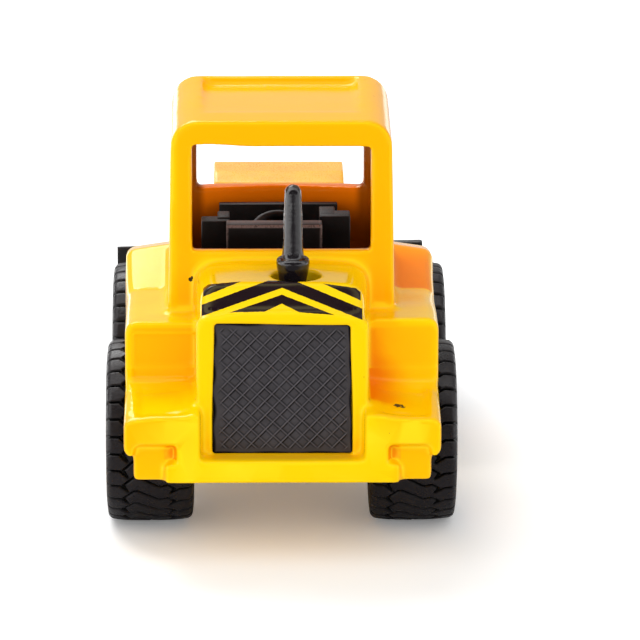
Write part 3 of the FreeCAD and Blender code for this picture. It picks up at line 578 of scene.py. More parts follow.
def addPlastic(name, made):
    tree, shader = newFinish(name)
    where = place(tree)
    cloud, fine = grain(tree, where, moulded["cloud"]), grain(tree, where, made["texture"])
    colour = tint(tree, ramp(tree, cloud, *moulded["cloudy"]), made["colour"], made["shade"])
    groove = tuple(c * moulded["groove"] for c in made["colour"])
    crest = tuple(c * moulded["crest"] for c in made["shade"])
    # painted shade in grooves, painted highlight on crests
    colour = tint(tree, painted(tree, "groove"), colour, groove)
    colour = tint(tree, painted(tree, "crest"), colour, crest)
    # worn pale edges that also take a painted highlight
    patches = ramp(tree, grain(tree, where, moulded["rubCell"]), *moulded["rubbedAndLit"])
    colour = tint(tree, times(tree, painted(tree, "worn"), patches), colour, moulded["bare"])
    dust = times(tree, flecks(tree, where, moulded["fleck"]), moulded["dusty"])
    colour = tint(tree, dust, colour, moulded["dust"])
    rough = ramp(tree, fine, *moulded["fine"], *(made["gloss"] + more for more in moulded["glossSpread"]))
    fit(tree, shader, {"Base Color": colour, "Roughness": rough,
                       "Normal": bump(tree, fine, moulded["bump"], made["depth"]),
                       "Specular IOR Level": made["specular"], "Coat Weight": made["coat"],
                       "Coat Roughness": moulded["coatGloss"]})


# bare metals: colour, how dull, and how the drawn lines are stretched
metals = dict(axleSteel=dict(colour=(0.60, 0.60, 0.62), gloss=0.30, scale=(0.2, 3.0, 3.0)),
              bareZinc=dict(colour=(0.50, 0.49, 0.47), gloss=0.42, scale=(1.0, 1.0, 1.0)))
drawn = dict(lines=4.0, stain=0.8, stained=(0.4, 0.7), dull=0.72, fine=(0.3, 0.7),
             glossSpread=(-0.08, 0.12), bump=(0.25, 0.00003))


def addMetal(name, made):
    tree, shader = newFinish(name)
    where = place(tree)
    stretched = put(tree, "ShaderNodeMapping", {"Vector": where, "Scale": made["scale"]}).outputs[0]
    lines, stain = grain(tree, stretched, drawn["lines"], 4.0), grain(tree, where, drawn["stain"], 4.0)
    dull = tuple(c * drawn["dull"] for c in made["colour"])
    colour = tint(tree, ramp(tree, stain, *drawn["stained"]), made["colour"], dull)
    rough = ramp(tree, lines, *drawn["fine"], *(made["gloss"] + more for more in drawn["glossSpread"]))
    fit(tree, shader, {"Base Color": colour, "Roughness": rough, "Metallic": 1.0,
                       "Normal": bump(tree, lines, *drawn["bump"])})


def addFinishes():
    addEnamel("printedEnamel", True)
    addEnamel("plainEnamel", False)
    addRubber("tyreRubber")
    for name, made in plastics.items():
        addPlastic(name, made)
    for name, made in metals.items():
        addMetal(name, made)
    print("finishes:", len(finishes))


# body casting: cab, hood, fenders and counterweight in one skin of zinc and paint
shell = dict(
    voxel=0.17, crisp=11, pool=34, budget=182000, uneven=0.02, grow=0.045, seed=7,
    # blocks under the rear corners, where one coat of paint bridges base and body
    lug=dict(inner=11.35, inset=0.02, gap=0.12, back=0.05, long=3.0, top=12.75),
    # soft root of the fender walls: depth from the wall, height from the shelf
    root=[(-1.5, -0.45), (-0.75, -0.1), (-0.28, 0.45), (-0.05, 1.3), (0.4, 1.3), (0.4, -1.2), (-1.5, -1.2)],
    shelf=16.6, wall=-29.85, rootInner=8.3, rootInset=0.35,
    # paint standing in the two small corners between the bar and the blocks
    bead=dict(inner=9.9, outer=11.7, back=1.15, front=3.0, bottom=10.6, top=12.7),
    # places that stay crisp: the grille's opening, the seat of the exhaust, the rear window's corners
    mouthOver=0.5, mouthUnder=0.1, mouthDepth=(-37.0, -35.0),
    wellPlace=1.4, wellWide=3.0, well=dict(zIn=(24.5, 28.6)),
    windowRear=-24.6, windowSide=8.85, windowLevels=(28.85, 39.65), windowCorner=1.0, cornerHold=0.75,
    upward=0.2, backward=-0.6,
    # shallow pad sunk in each shelf
    dish=0.30,
    pad=dict(side=(9.0, 10.4, 13.6, 14.6), y=(-38.4, -37.3, -32.2, -30.8), z=(14.2, 14.9, 17.5, 18.2)),
    # the bumper's top edge wanders a little
    sag=0.14, sagWave=(1.15, 0.7), lip=dict(y=(-36.6, -37.8), side=(8.6, 9.6), z=(14.0, 15.4)),
    # the rear window's head runs down from its left corner
    headSag=0.22,
    head=dict(z=(38.9, 39.4, 40.2, 41.2), x=(-7.5, -2.5), yIn=(-far, -24.6), sideIn=(-1, 9.6)),
    # the left fender's wall lies back inside a rounded rim, and the cab's corners inside low lips
    rim=0.26, pane=dict(x=(-14.95, -14.5, -8.6, -8.3), z=(21.6, 21.15), yIn=(-31.2, -28.6), zIn=(16.9, far)),
    foot=0.10, cabFoot=dict(side=(7.7, 8.2, 10.2, 10.8), z=(22.95, 23.4, 24.0, 28.0), yIn=(-27.2, -25.4)),
    # the grille's opening draws in towards its head
    mouthSag=0.17,
    mouthHead=dict(z=(22.6, 23.6, 24.2, 24.9), x=(-6.5, 6.0), yIn=(-far, -35.0), sideIn=(-1, 8.2)),
    mouthIn=0.22,
    mouthSides=dict(z=(14.0, 24.0), side=(5.6, 6.3, 7.0, 8.1), yIn=(-far, -35.0), zIn=(10, 25.5)),
    # the right deck stands a little higher towards the rear, the nose a touch to the left
    deckRise=0.34, deck=dict(x=(8.4, 9.4), z=(18.5, 21.5, 23.4, 24.4), y=(-18.0, -26.0), yIn=(-31.5, far)),
    noseShift=0.10, nose=dict(y=(-17.5, -12.0), side=(11.6, 12.4)),
    # painted shade: a deeper orange on the walls over the shelves, most of it beside the grille's frame
    shelter=dict(side=(8.3, 8.7, 14.5, 15.0), yIn=(-31.0, -28.6), zIn=(16.6, 21.9)), shelterLeft=0.8,
    beside=dict(side=(12.0, 8.6)), shelterRight=0.25, besideMore=0.5,
    # painted shade on the cab too, but not under its rear window or along its left edge
    cab=dict(z=(23.0, 24.2), yIn=(-27.3, far)), cabTone=0.85,
    cabSill=dict(z=(29.2, 28.0), side=(9.6, 7.4), yIn=(-far, -24.6)),
    cabEdge=dict(x=(-10.0, -10.7)), cabEdgeTone=0.8,
    # and painted shade on the blocks and the counterweight
    blocks=dict(z=(12.2, 11.9), side=(10.4, 10.9), yIn=(-38.7, -37.0)), blockTone=0.6,
    weight=dict(z=(11.9, 12.4, 14.8, 15.6), side=(8.8, 10.0), yIn=(-far, -37.0)), weightTone=(0.65, 0.25),
    # painted light: a paler yellow on the hood and the grille's frame, on its bar and a little on the right
    # deck
    pale=[dict(side=(9.1, 8.7), z=(12.0, 13.0), yIn=(-far, -27.4)),
          dict(side=(11.2, 10.6), yIn=(-far, -38.0), zIn=(-far, 13.0)),
          dict(x=(11.3, 11.6), z=(21.9, 22.3), y=(-17.5, -30.5), yIn=(-far, -17.4))],
    # painted shadow in dark orange under the blocks, where the deck meets the cab, and on the shelf beside
    # the frame
    corner=dict(side=(10.2, 10.5, 11.3, 11.7), yIn=(-38.75, -36.5), zIn=(10.9, 12.35)), cornerTone=0.75,
    slope=dict(y=(-17.2, -16.8, -12.0, -5.0), x=(11.2, 11.5, 15.0, 15.6), z=(20.8, 22.6)), slopeTone=0.9,
    gutter=dict(x=(8.5, 8.8), y=(-35.8, -34.6), z=(22.2, 21.4), yIn=(-far, -28.6), zIn=(15.0, far)),
    gutterDeep=dict(z=(20.0, 17.0)), gutterFade=(8.8, 10.6, 2.6), gutterTone=(0.55, 0.4),
    # painted highlight: thin pale lines along the rounded edges of the faces that look back
    rounded=(0.86, 0.08), rear=dict(yIn=(-far, -17.0)), wallFoot=dict(yIn=(-32.0, -28.0), zIn=(-far, 17.8)))


def bodyBlocks():
    # what is added to the casting before its skin is drawn round it
    low, high = nodeBox("chassis_base")
    bodyLow, bodyHigh = nodeBox("body_casting")
    lug, bead, blocks = shell["lug"], shell["bead"], []
    outline = [(shell["wall"] + back, shell["shelf"] + up) for back, up in shell["root"]]
    for side in (-1, 1):
        ends = sorted((side * shell["rootInner"], side * (bodyHigh[0] - shell["rootInset"])))
        blocks.append(prismShape(outline, *ends))
    for side in (-1, 1):
        ends = sorted((side * lug["inner"], side * (high[0] - lug["inset"])))
        blocks.append(boxShape((ends[0], low[1] - lug["back"], bodyLow[2] + lug["gap"]),
                               (ends[1], low[1] + lug["long"], lug["top"])))
    for side in (-1, 1):
        ends = sorted((side * bead["inner"], side * bead["outer"]))
        blocks.append(boxShape((ends[0], bodyLow[1] + bead["back"], bead["bottom"]),
                               (ends[1], bodyLow[1] + bead["front"], bead["top"])))
    return blocks


def bodyHold(spots):
    x, y, z = spots.T
    low, high = nodeBox("radiator_grille")
    mouth = dict(sideIn=(-1, high[0] + shell["mouthOver"]), yIn=shell["mouthDepth"],
                 zIn=(low[2] - shell["mouthUnder"], high[2] + shell["mouthOver"]))
    stackMiddle = nodeSpan("exhaust_stack")[0]
    well = np.hypot(x - shell["wellPlace"], y - stackMiddle[1]) < shell["wellWide"]
    well = well & (region(spots, shell["well"]) > 0)
    atLevel = [np.abs(z - level) < shell["windowCorner"] for level in shell["windowLevels"]]
    corner = np.abs(np.abs(x) - shell["windowSide"]) < shell["windowCorner"]
    corner = corner & (atLevel[0] | atLevel[1]) & (y < shell["windowRear"])
    return np.maximum(region(spots, mouth), (well | corner) * shell["cornerHold"])


def bodySculpt(spots, facing):
    upward, backward = facing[:, 2] > shell["upward"], facing[:, 1] < shell["backward"]
    pitch, start = shell["sagWave"]

    def pull(axis, amount, part, share=1.0):
        spots[:, axis] += amount * region(spots, shell[part]) * share

    pull(2, -shell["dish"], "pad", upward)
    pull(2, -shell["sag"], "lip", 0.5 + 0.5 * np.sin(spots[:, 0] * pitch + start))
    pull(2, -shell["headSag"], "head")
    pull(1, shell["rim"], "pane", backward)
    pull(1, shell["foot"], "cabFoot", backward)
    pull(2, -shell["mouthSag"], "mouthHead")
    pull(0, -shell["mouthIn"], "mouthSides", np.sign(spots[:, 0]))
    pull(2, shell["deckRise"], "deck")
    pull(0, -shell["noseShift"], "nose")
    return spots


# painted shade: how far each point of the body turns to the deeper orange
def bodyShade(spots):
    left = spots[:, 0] < 0
    right = shell["shelterRight"] + shell["besideMore"] * region(spots, shell["beside"])
    walls = region(spots, shell["shelter"]) * np.where(left, shell["shelterLeft"], right)
    cab = region(spots, shell["cab"]) * (1 - region(spots, shell["cabSill"]))
    cab = cab * (1 - shell["cabEdgeTone"] * region(spots, shell["cabEdge"])) * shell["cabTone"]
    blocks = region(spots, shell["blocks"]) * shell["blockTone"]
    weight = region(spots, shell["weight"]) * np.where(left, *shell["weightTone"])
    return np.maximum.reduce([walls, cab, blocks, weight])


# painted shadow: how far each point of the body turns to dark orange
def bodyNookShade(spots):
    corner = region(spots, shell["corner"]) * shell["cornerTone"]
    slope = region(spots, shell["slope"]) * shell["slopeTone"]
    deep = region(spots, shell["gutterDeep"])
    start, end, more = shell["gutterFade"]
    light, dark = shell["gutterTone"]
    gutter = region(spots, shell["gutter"]) * (1 - ease(spots[:, 0], start, end + more * deep))
    return np.maximum.reduce([corner, slope, gutter * (light + dark * deep)])


def addBody():
    thing = castShape("bodyShell", [nodeShape("body_casting")] + bodyBlocks(), shell, bodySculpt, bodyHold)
    spots = coords(thing.data) * perMetre
    paintLayer(thing.data, "paintedShade", bodyShade(spots))
    paintLayer(thing.data, "nookShade", bodyNookShade(spots))
    # painted light: where the paler yellow goes
    paintLayer(thing.data, "pale", np.maximum.reduce([region(spots, part) for part in shell["pale"]]))
    # painted highlight: pale lines along the rounded edges, added to the crowns
    turned = -normals(thing.data)[:, 1]
    crown = np.empty(len(spots))
    thing.data.attributes["crown"].data.foreach_get("value", crown)
    middle, wide = shell["rounded"]
    rounded = np.exp(-((turned - middle) / wide) ** 2) * region(spots, shell["rear"])
    rounded = rounded * (1 - region(spots, shell["wallFoot"]))
    paintLayer(thing.data, "crown", np.maximum(crown, rounded))
    finish(thing, "printedEnamel", "machine", "body_casting")


# chassis base; its corner blocks draw back under the coat that bridges them to the body
base = dict(voxel=0.17, crisp=5, pool=20, budget=64000, uneven=0.02, grow=0.03, seed=11,
            corner=dict(yIn=(-far, -34.5), sideIn=(11.0, far)), cornerRear=-37.5, cornerSides=(11.6, 14.3),
            under=9.4, cornerFloor=9.1)
# peened rivets: height over the bottom and share of the head's radius, then the shank
rivet = dict(head=[(0.02, 0.45), (0.12, 0.8), (0.3, 1), (0.7, 1), (0.79, 0.96)], neck=0.79, shank=1.48,
             steps=64)


def baseSculpt(spots, facing):
    x, y, z = spots.T
    corner = region(spots, base["corner"]) > 0
    y = np.where(corner, np.maximum(y, base["cornerRear"]), y)
    x = np.where(corner, np.sign(x) * np.clip(np.abs(x), *base["cornerSides"]), x)
    z = np.where(corner & (z < base["under"]), np.maximum(z, base["cornerFloor"]), z)
    return np.column_stack((x, y, z))


def addBase():
    thing = castShape("basePlate", [nodeShape("chassis_base")], base, baseSculpt)
    finish(thing, "plainEnamel", "machine", "chassis_base")
    for node in ("rear_rivet", "front_rivet"):
        low, high = nodeBox(node)
        centre, half = nodeSpan(node)
        centre[2] = low[2]
        reach, shank = high[2] - low[2], rivet["shank"]
        profile = [(0, onAxis)] + [(up, half[0] * share) for up, share in rivet["head"]]
        profile += [(rivet["neck"], shank), (reach, shank), (reach, onAxis)]
        turned = latheShape(profile, centre, 2, rivet["steps"])
        thing = plainShape(node.split("_")[0] + "RivetPeened", [turned])
        finish(thing, "bareZinc", "machine", node)


# radiator grille: a flat plate with fine crossed ribs, its sides cut a little out of true
grille = dict(
    cell=0.06, sunk=0.10, border=0.55, soft=(0.25, 0.1), drift=0.05, leftIn=0.10, rightIn=0.22,
    leftWaves=(9.1, 23.0), rightWave=13.0, edgeShare=(0.6, 0.65), edgeWave=(0.05, 1.7, 1.3),
    dent=0.012, dentWave=(3.0, 9), proudest=0.095, deepest=-0.2, rimDark=(0.05, 0.20), sharp=50,
    # slant, pitch, first rib from the middle, crest, groove below and groove above
    ribs=[(46.4, 1.008, 0.670, 0.085, 0.080, 0.045), (-42.9, 1.0133, 0.904, 0.050, 0.058, 0.050)],
    # width of the crest, then place and width of the groove below and of the groove above
    crest=0.050, below=(0.13, 0.072), above=(-0.13, 0.064), grooveFull=0.075, crestFull=0.085,
    # each rib is a little stronger or weaker than the next, and fades along its length
    vary=(0.86, 0.12, 2.7, 0.14, 1.3, 1.9))


def ribRelief(x, z):
    # height of the ribs over the plate, and how deep in shadow or how proud each point is
    height, groove, crest = np.zeros(len(x)), np.zeros(len(x)), np.zeros(len(x))
    usual, step, stepTurn, fade, fadeTurn, fadeShift = grille["vary"]
    for k, (slant, pitch, first, proud, below, above) in enumerate(grille["ribs"]):
        turn = math.radians(slant)
        across = (x * math.sin(turn) - z * math.cos(turn)) * math.copysign(1, slant)
        along = x * math.cos(turn) + z * math.sin(turn)
        off = (across - first + pitch / 2) % pitch - pitch / 2
        number = np.round((across - first) / pitch)
        vary = usual + step * np.sin(number * stepTurn + k)
        vary = vary + fade * np.sin(along * fadeTurn + number * fadeShift)
        top = np.exp(-(off / grille["crest"]) ** 2)
        low = np.exp(-((off - grille["below"][0]) / grille["below"][1]) ** 2)
        high = np.exp(-((off - grille["above"][0]) / grille["above"][1]) ** 2)
        height = np.maximum(height, proud * top * vary) - (below * low + above * high) * vary
        groove = np.maximum(groove, (low * below + high * above) / grille["grooveFull"] * vary)
        crest = np.maximum(crest, top * proud / grille["crestFull"] * vary)
    return height, groove, crest


def addGrille():
    low, high = nodeBox("radiator_grille")
    face = low[1] + grille["sunk"]
    across, up = (int((high[axis] - low[axis]) / grille["cell"]) for axis in (0, 2))
    s, t = np.meshgrid(np.linspace(0, 1, across), np.linspace(0, 1, up))
    s, t = s.ravel(), t.ravel()
    belly = grille["drift"] * np.sin(math.pi * t)
    left = low[0] + grille["leftIn"] * t + belly * sum(np.sin(turn * t) for turn in grille["leftWaves"])
    right = high[0] - grille["rightIn"] * t + belly * np.sin(grille["rightWave"] * t)
    x, z = left + (right - left) * s, low[2] + (high[2] - low[2]) * t
    height, groove, crest = ribRelief(x, z - (low[2] + high[2]) / 2)
    # the ribs die out before they reach the opening, furthest from its head and its left side
    leftShare, topShare = grille["edgeShare"]
    edge = np.minimum(np.minimum((x - left) * leftShare, right - x),
                      np.minimum(z - low[2], (high[2] - z) * topShare))
    wander, upTurn, sideTurn = grille["edgeWave"]
    edge = edge + wander * np.sin(z * upTurn + x * sideTurn)
    inside = ease(edge, grille["border"] - grille["soft"][0], grille["border"] + grille["soft"][1])
    relief = np.clip(height * inside, grille["deepest"], grille["proudest"])
    y = face - relief + grille["dent"] * waves(np.column_stack((x, z, z)), *grille["dentWave"])
    front = np.column_stack((x, y, z))
    index = np.arange(across * up).reshape(up, across)
    rings = np.column_stack((index[:-1, :-1].ravel(), index[:-1, 1:].ravel(), index[1:, 1:].ravel(),
                             index[1:, :-1].ravel())).tolist()
    # its edges and its back
    outer = np.concatenate((index[0, :], index[1:, -1], index[-1, -2::-1], index[-2:0:-1, 0]))
    behind = front[outer].copy()
    behind[:, 1] = high[1]
    count, start = len(outer), across * up
    for k in range(count):
        after = (k + 1) % count
        rings.append((outer[after], outer[k], start + k, start + after))
    rings.append(tuple(range(start, start + count))[::-1])
    thing = plainShape("grilleMesh", [(np.vstack((front, behind)), rings)], grille["sharp"])
    spare = np.zeros(count)
    # painted shade beside the ribs and as a dark line round the plate's edge; the crests take a painted
    # highlight
    dark = np.maximum(groove * inside, 1 - ease(edge, *grille["rimDark"]))
    paintLayer(thing.data, "groove", np.concatenate((dark, spare)))
    paintLayer(thing.data, "crest", np.concatenate((crest * inside, spare)))
    print("grille:", len(rings), "faces")
    finish(thing, "grillePlastic", "machine", "radiator_grille")


# exhaust stack: a pipe with a round end, its collar and its foot as (height over the floor, radius)
stack = dict(voxel=0.09, crisp=3, pool=8, budget=26000, uneven=0.02, grow=0.035, seed=5,
             pipeX=1.08, footX=1.4, steps=72, end=0.84, endTall=0.86, endTurns=range(0, 91, 15),
             collar=[(0, onAxis), (0, 1.22), (1.4, 1.28), (2.4, 1.42), (3.2, 1.58), (3.75, 1.64),
                     (4.0, 1.60), (4.15, 1.42), (4.2, 1.22), (4.35, 1.08), (4.8, 1.02), (6.4, 0.97),
                     (8.0, 0.94), (9.4, 0.87), (10.0, 0.84)],
             foot=[(0, onAxis), (0, 2.30), (0.6, 2.33), (0.95, 2.25), (1.0, 2.1), (1.0, onAxis)],
             tip=dict(z=(35.3, 36.2)), pitWave=(0.55, 17), pit=0.030, worn=0.012)


def stackSculpt(spots, facing):
    # the tip is pitted
    tip = region(spots, stack["tip"])
    pits = stack["pit"] * tip * waves(spots, *stack["pitWave"]) - stack["worn"] * tip
    return spots + facing * pits[:, None]


def addStack():
    low, high = nodeBox("exhaust_stack")
    middle, end = (low[1] + high[1]) / 2, stack["end"]
    pipe = list(stack["collar"])
    for turn in stack["endTurns"]:
        bow = math.radians(turn)
        pipe.append((high[2] - low[2] - end + stack["endTall"] * math.sin(bow),
                     max(end * math.cos(bow), onAxis)))
    shapes = [latheShape(pipe, (stack["pipeX"], middle, low[2]), 2, stack["steps"]),
              latheShape(stack["foot"], (stack["footX"], middle, low[2]), 2, stack["steps"])]
    finish(castShape("stackPipe", shapes, stack, stackSculpt), "pipePlastic", "machine",
           "exhaust_stack")


# cab interior: a tub with a stepped console on each side, a seat and a dashboard
cabin = dict(
    floor=24.4, sunk=0.2, leftIn=1.45, rightIn=2.45, seatLeft=0.35, seatRight=0.25,
    # consoles: in from the outer edge, rear, front, and the top's height (left) or drop (right)
    left=[(0, -18.6, -16.4, 29.95), (1.6, -17.6, -14.9, 30.1)],
    right=[(0, -18.4, -15.8, 0.03), (1.5, -17.4, -14.2, 0.01)],
    bevels=dict(tub=(0.14, 3), seat=(0.09, 2), dash=(0.1, 2)), sharp=40,
    # seat: the top's drop, its back as (depth, drop), its cushion as (depth, height), side plates, ribs
    topDrop=0.17, back=[(0, 0.25), (0.25, 0), (2.05, 0), (2.3, 0.3)], heel=0.5,
    pan=[(3.0, 26.2), (3.3, 25.75)], nose=[(0.3, 25.75), (0, 25.45)], plate=0.40, inset=0.25, tuck=0.04,
    ribs=4, ribStart=1.3, ribSpan=(2.6, 3.4), ribRear=3.6, ribFront=0.4, ribLevel=(25.6, 25.9), ribWide=0.9,
    # where the seat's edges are worn pale and take a painted highlight
    rubTop=(0.30, 0.02), rubBack=0.3, rubFront=(1.9, 2.2), rubSide=0.10, rubLow=(26.0, 27.6),
    # dials: pitch, width, rear, front, and bottom and top below the dashboard's top
    dials=3, dialPitch=2.6, dialWide=1.6, dialDepth=(0.02, 0.5), dialDrop=(2.2, 0.7))


def bevelled(name, shapes, bevel):
    spots, rings = joinShapes(shapes)
    thing = makeObject(name, spots, rings)
    edge = thing.modifiers.new("edge", "BEVEL")
    edge.width, edge.segments = bevel
    edge.limit_method = "ANGLE"
    mesh = evaluatedMesh(thing)
    setCoords(mesh, coords(mesh) / perMetre)
    mesh.shade_smooth()
    mesh.set_sharp_from_angle(angle=math.radians(cabin["sharp"]))
    return linkMesh(name, mesh)


def addTub():
    low, high = nodeBox("interior_tub")
    seatLow, seatHigh = nodeBox("driver_seat")
    floor, bottom = cabin["floor"], cabin["floor"] - cabin["sunk"]
    shapes = [boxShape(low, (high[0], high[1], floor))]
    for inwards, rear, front, top in cabin["left"]:
        shapes.append(boxShape((low[0] + cabin["leftIn"] + inwards, rear, bottom),
                               (seatLow[0] + cabin["seatLeft"], front, top)))
    for inwards, rear, front, drop in cabin["right"]:
        shapes.append(boxShape((seatHigh[0] - cabin["seatRight"], rear, bottom),
                               (high[0] - cabin["rightIn"] - inwards, front, high[2] - drop)))
    finish(bevelled("cabTub", shapes, cabin["bevels"]["tub"]), "cabPlastic", "machine",
           "interior_tub")


def addSeat():
    low, high = nodeBox("driver_seat")
    left, right, top = low[0], high[0], high[2] - cabin["topDrop"]
    rear, front, plate = low[1], high[1], cabin["plate"]
    side = [(rear + cabin["heel"], low[2])] + [(rear + deep, top - drop) for deep, drop in cabin["back"]]
    side += [(rear + deep, level) for deep, level in cabin["pan"]]
    side += [(front - short, level) for short, level in cabin["nose"]] + [(front, low[2])]
    shapes = [prismShape(side, left + cabin["inset"], right - cabin["inset"])]
    for edge in (left, right - plate):
        outline = [(y + (cabin["tuck"] if k < 2 else 0), z) for k, (y, z) in enumerate(side)]
        shapes.append(prismShape(outline, edge, edge + plate))
    spare, share = cabin["ribSpan"]
    bottom, level = cabin["ribLevel"]
    for k in range(cabin["ribs"]):
        x = left + cabin["ribStart"] + k * (right - left - spare) / share
        shapes.append(boxShape((x, rear + cabin["ribRear"], bottom),
                               (x + cabin["ribWide"], front - cabin["ribFront"], level)))
    thing = bevelled("cabSeat", shapes, cabin["bevels"]["seat"])
    x, y, z = (coords(thing.data) * perMetre).T
    deepest, shallowest = (top - drop for drop in cabin["rubTop"])
    start, end = cabin["rubFront"]
    atRear = y < rear + cabin["rubBack"]
    # the seat's worn edges, pale also as a painted highlight
    worn = np.maximum((z > deepest) * (z < shallowest) * atRear,
                      (z > shallowest) * (y > rear + start) * (y < rear + end))
    atSide = np.minimum(x - left, right - x) < cabin["rubSide"]
    paintLayer(thing.data, "worn", np.maximum(worn, atSide * atRear * ease(z, *cabin["rubLow"])))
    finish(thing, "cabPlastic", "machine", "driver_seat")


def addDashboard():
    low, high = nodeBox("dashboard")
    shapes = [boxShape(low, high)]
    rear, front = cabin["dialDepth"]
    bottom, top = cabin["dialDrop"]
    for k in range(cabin["dials"]):
        x = low[0] + cabin["dialPitch"] + k * cabin["dialPitch"]
        shapes.append(boxShape((x, low[1] + rear, high[2] - bottom),
                               (x + cabin["dialWide"], low[1] + front, high[2] - top)))
    finish(bevelled("cabDash", shapes, cabin["bevels"]["dash"]), "cabPlastic", "machine",
           "dashboard")
    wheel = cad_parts["steering_wheel"]
    wheel.data.materials.clear()
    wheel.data.materials.append(finishes["cabPlastic"])


# tyres; the grooves of one block are lines of (across the tread in millimetres, along it in blocks)
tyre = dict(
    blocks=32, rear=672, front=416, groove=0.42, halfWidth=0.06, wall=0.10, repeats=range(-1, 4),
    lines=[[(-4.6, 0.0), (-2.95, 0.0), (-2.15, -0.42)],
           [(-2.60, -0.92), (-1.55, -0.36), (-1.20, -0.32), (0.0, -0.72), (0.75, -0.98), (1.10, -1.03),
            (1.75, -0.93), (2.45, -1.20)],
           [(4.6, -1.22), (3.05, -1.22), (2.05, -1.56)],
           [(-2.60, -0.92), (-2.15, -1.42)],
           [(2.45, -1.20), (2.05, -1.56)]],
    # side wall: in from the side and up from the bore
    bead=[(0.9, 0), (0.25, 0), (0.08, 0.12), (0.02, 0.5), (0.10, 0.8), (0.06, 1.2)],
    shoulder=0.80, wallTop=(1.9, 1.55), steps=8, lean=0.02, bow=0.62, edge=0.64, across=62,
    crown=(0.18, 2.5), drawIn=0.24, drawDeep=3.4, drawSide=(0.7, 8),
    shoulderCut=(0.6, 0.1), shoulderEase=0.6, notch=0.26,
    # the mould's parting line, one half a hair larger
    seam=(0.05, 0.07), seamDepth=0.07, halfStep=0.035, waves=3.2, seed=3, uneven=0.02, shrink=0.02,
    bore=0.02)


def grooveDepth(x, turn, radius):
    # 0 on a block, 1 at the bottom of a groove; x across the tread, turn along it in blocks
    pitch = 2 * math.pi * radius / tyre["blocks"]
    nearest = np.full(len(x), float(far))
    along = (turn - np.floor(turn)) * pitch
    for line in tyre["lines"]:
        for (x0, s0), (x1, s1) in zip(line, line[1:]):
            for shift in tyre["repeats"]:
                y0, y1 = (s0 + shift) * pitch, (s1 + shift) * pitch
                length = (x1 - x0) ** 2 + (y1 - y0) ** 2
                t = np.clip(((x - x0) * (x1 - x0) + (along - y0) * (y1 - y0)) / length, 0, 1)
                away = np.hypot(x - x0 - t * (x1 - x0), along - y0 - t * (y1 - y0))
                nearest = np.minimum(nearest, away)
    return 1 - ease(nearest, tyre["halfWidth"], tyre["halfWidth"] + tyre["wall"])


def tyreProfile(half, radius, bore):
    # across the tyre from one bead over the tread to the other: (x, radius, how much tread cuts in)
    points = [(-half + inwards, bore + up, 0) for inwards, up in tyre["bead"]]
    points += [(-half, radius - down, 0) for down in tyre["wallTop"]]
    low, high = tyre["wallTop"][1], tyre["shoulder"]
    steps, lean, bow = tyre["steps"], tyre["lean"], tyre["bow"]
    for k in range(1, steps + 1):
        points.append((-half + lean * k / steps, radius - low + (low - high) * k / steps, k / steps))
    for k in range(1, steps + 1):
        turn = math.radians(90 * k / steps)
        points.append((-half + lean + bow * (1 - math.cos(turn)), radius - high + bow * math.sin(turn), 1))
    edge, count = half - tyre["edge"], tyre["across"]
    fall, power = tyre["crown"]
    for k in range(1, count):
        x = -edge + 2 * edge * k / count
        points.append((x, radius - fall * (abs(x) / edge) ** power, 1))
    points += [(-x, r, cut) for x, r, cut in reversed(points[:-(count - 1)])]
    # the side walls draw in a little towards the tread
    deep, (side, hard) = tyre["drawDeep"], tyre["drawSide"]
    drawn = []
    for x, r, cut in points:
        inwards = tyre["drawIn"] * max((r - radius + deep) / deep, 0) ** 2
        inwards *= min(abs(x) / (half - side), 1) ** hard
        drawn.append((x - math.copysign(inwards, x), r, cut))
    return drawn


def tyreShape(name, centre, half, radius, bore, around, seed):
    profile = np.array(tyreProfile(half, radius, bore))
    rows = len(profile)
    x, r, cut = (np.repeat(profile[:, k], around) for k in range(3))
    turn = np.tile(np.arange(around) * 2 * math.pi / around, rows)
    depth = grooveDepth(x, turn / (2 * math.pi) * tyre["blocks"], radius) * cut
    start, end = tyre["shoulderCut"]
    side = ease(np.abs(x), half - start, half - end)
    middle, wide = tyre["seam"]
    seam = np.exp(-((x - middle) / wide) ** 2) * (cut > 0) * (np.abs(x) < 1)
    spots = np.column_stack((x, r * np.cos(turn), r * np.sin(turn)))
    uneven = waves(spots, tyre["waves"], seed) * tyre["uneven"]
    r = r - depth * tyre["groove"] * (1 - tyre["shoulderEase"] * side) - seam * tyre["seamDepth"]
    r = r - tyre["halfStep"] * (x > middle) * (cut > 0) + uneven - tyre["shrink"]
    x = x - np.sign(x) * depth * side * tyre["notch"]
    verts = np.column_stack((centre[0] + x, centre[1] - r * np.cos(turn), centre[2] + r * np.sin(turn)))
    verts[:, 2] = np.maximum(verts[:, 2], 0.0)
    faces = []
    index = np.arange(rows * around).reshape(rows, around)
    for k in range(rows):
        a, b = index[k], index[(k + 1) % rows]
        faces += np.column_stack((a, np.roll(a, -1), np.roll(b, -1), b)).tolist()
    thing = makeObject(name, verts / perMetre, faces)
    paintLayer(thing.data, "groove", depth)
    thing.data.shade_smooth()
    return thing


# dished rims as (depth behind the face, radius), where no depth means the back
rim = dict(hub=[(None, 1.02), (None, 2.05), (3.2, 2.1), (3.0, 2.3)],
           # radius measured down from the rim's own
           lip=[(3.0, 0.85), (None, 0.75), (None, 0), (0.12, 0), (0, 0.14), (0, 0.42), (0.25, 0.60),
                (0.9, 0.86), (1.15, 1.15), (1.22, 1.6)],
           cap=[(1.22, 2.45), (1.05, 2.15), (0.6, 1.9), (0.42, 1.72), (0.38, 1.55), (0.38, 1.02)],
           steps=96, sharp=32, bolts=8, boltSides=6, boltCircle=3.0, boltRadius=0.34, boltDepth=1.6,
           # height and share of the radius
           bolt=[(0, 0), (0, 1), (0.62, 1), (0.72, 0.8), (0.72, 0)])


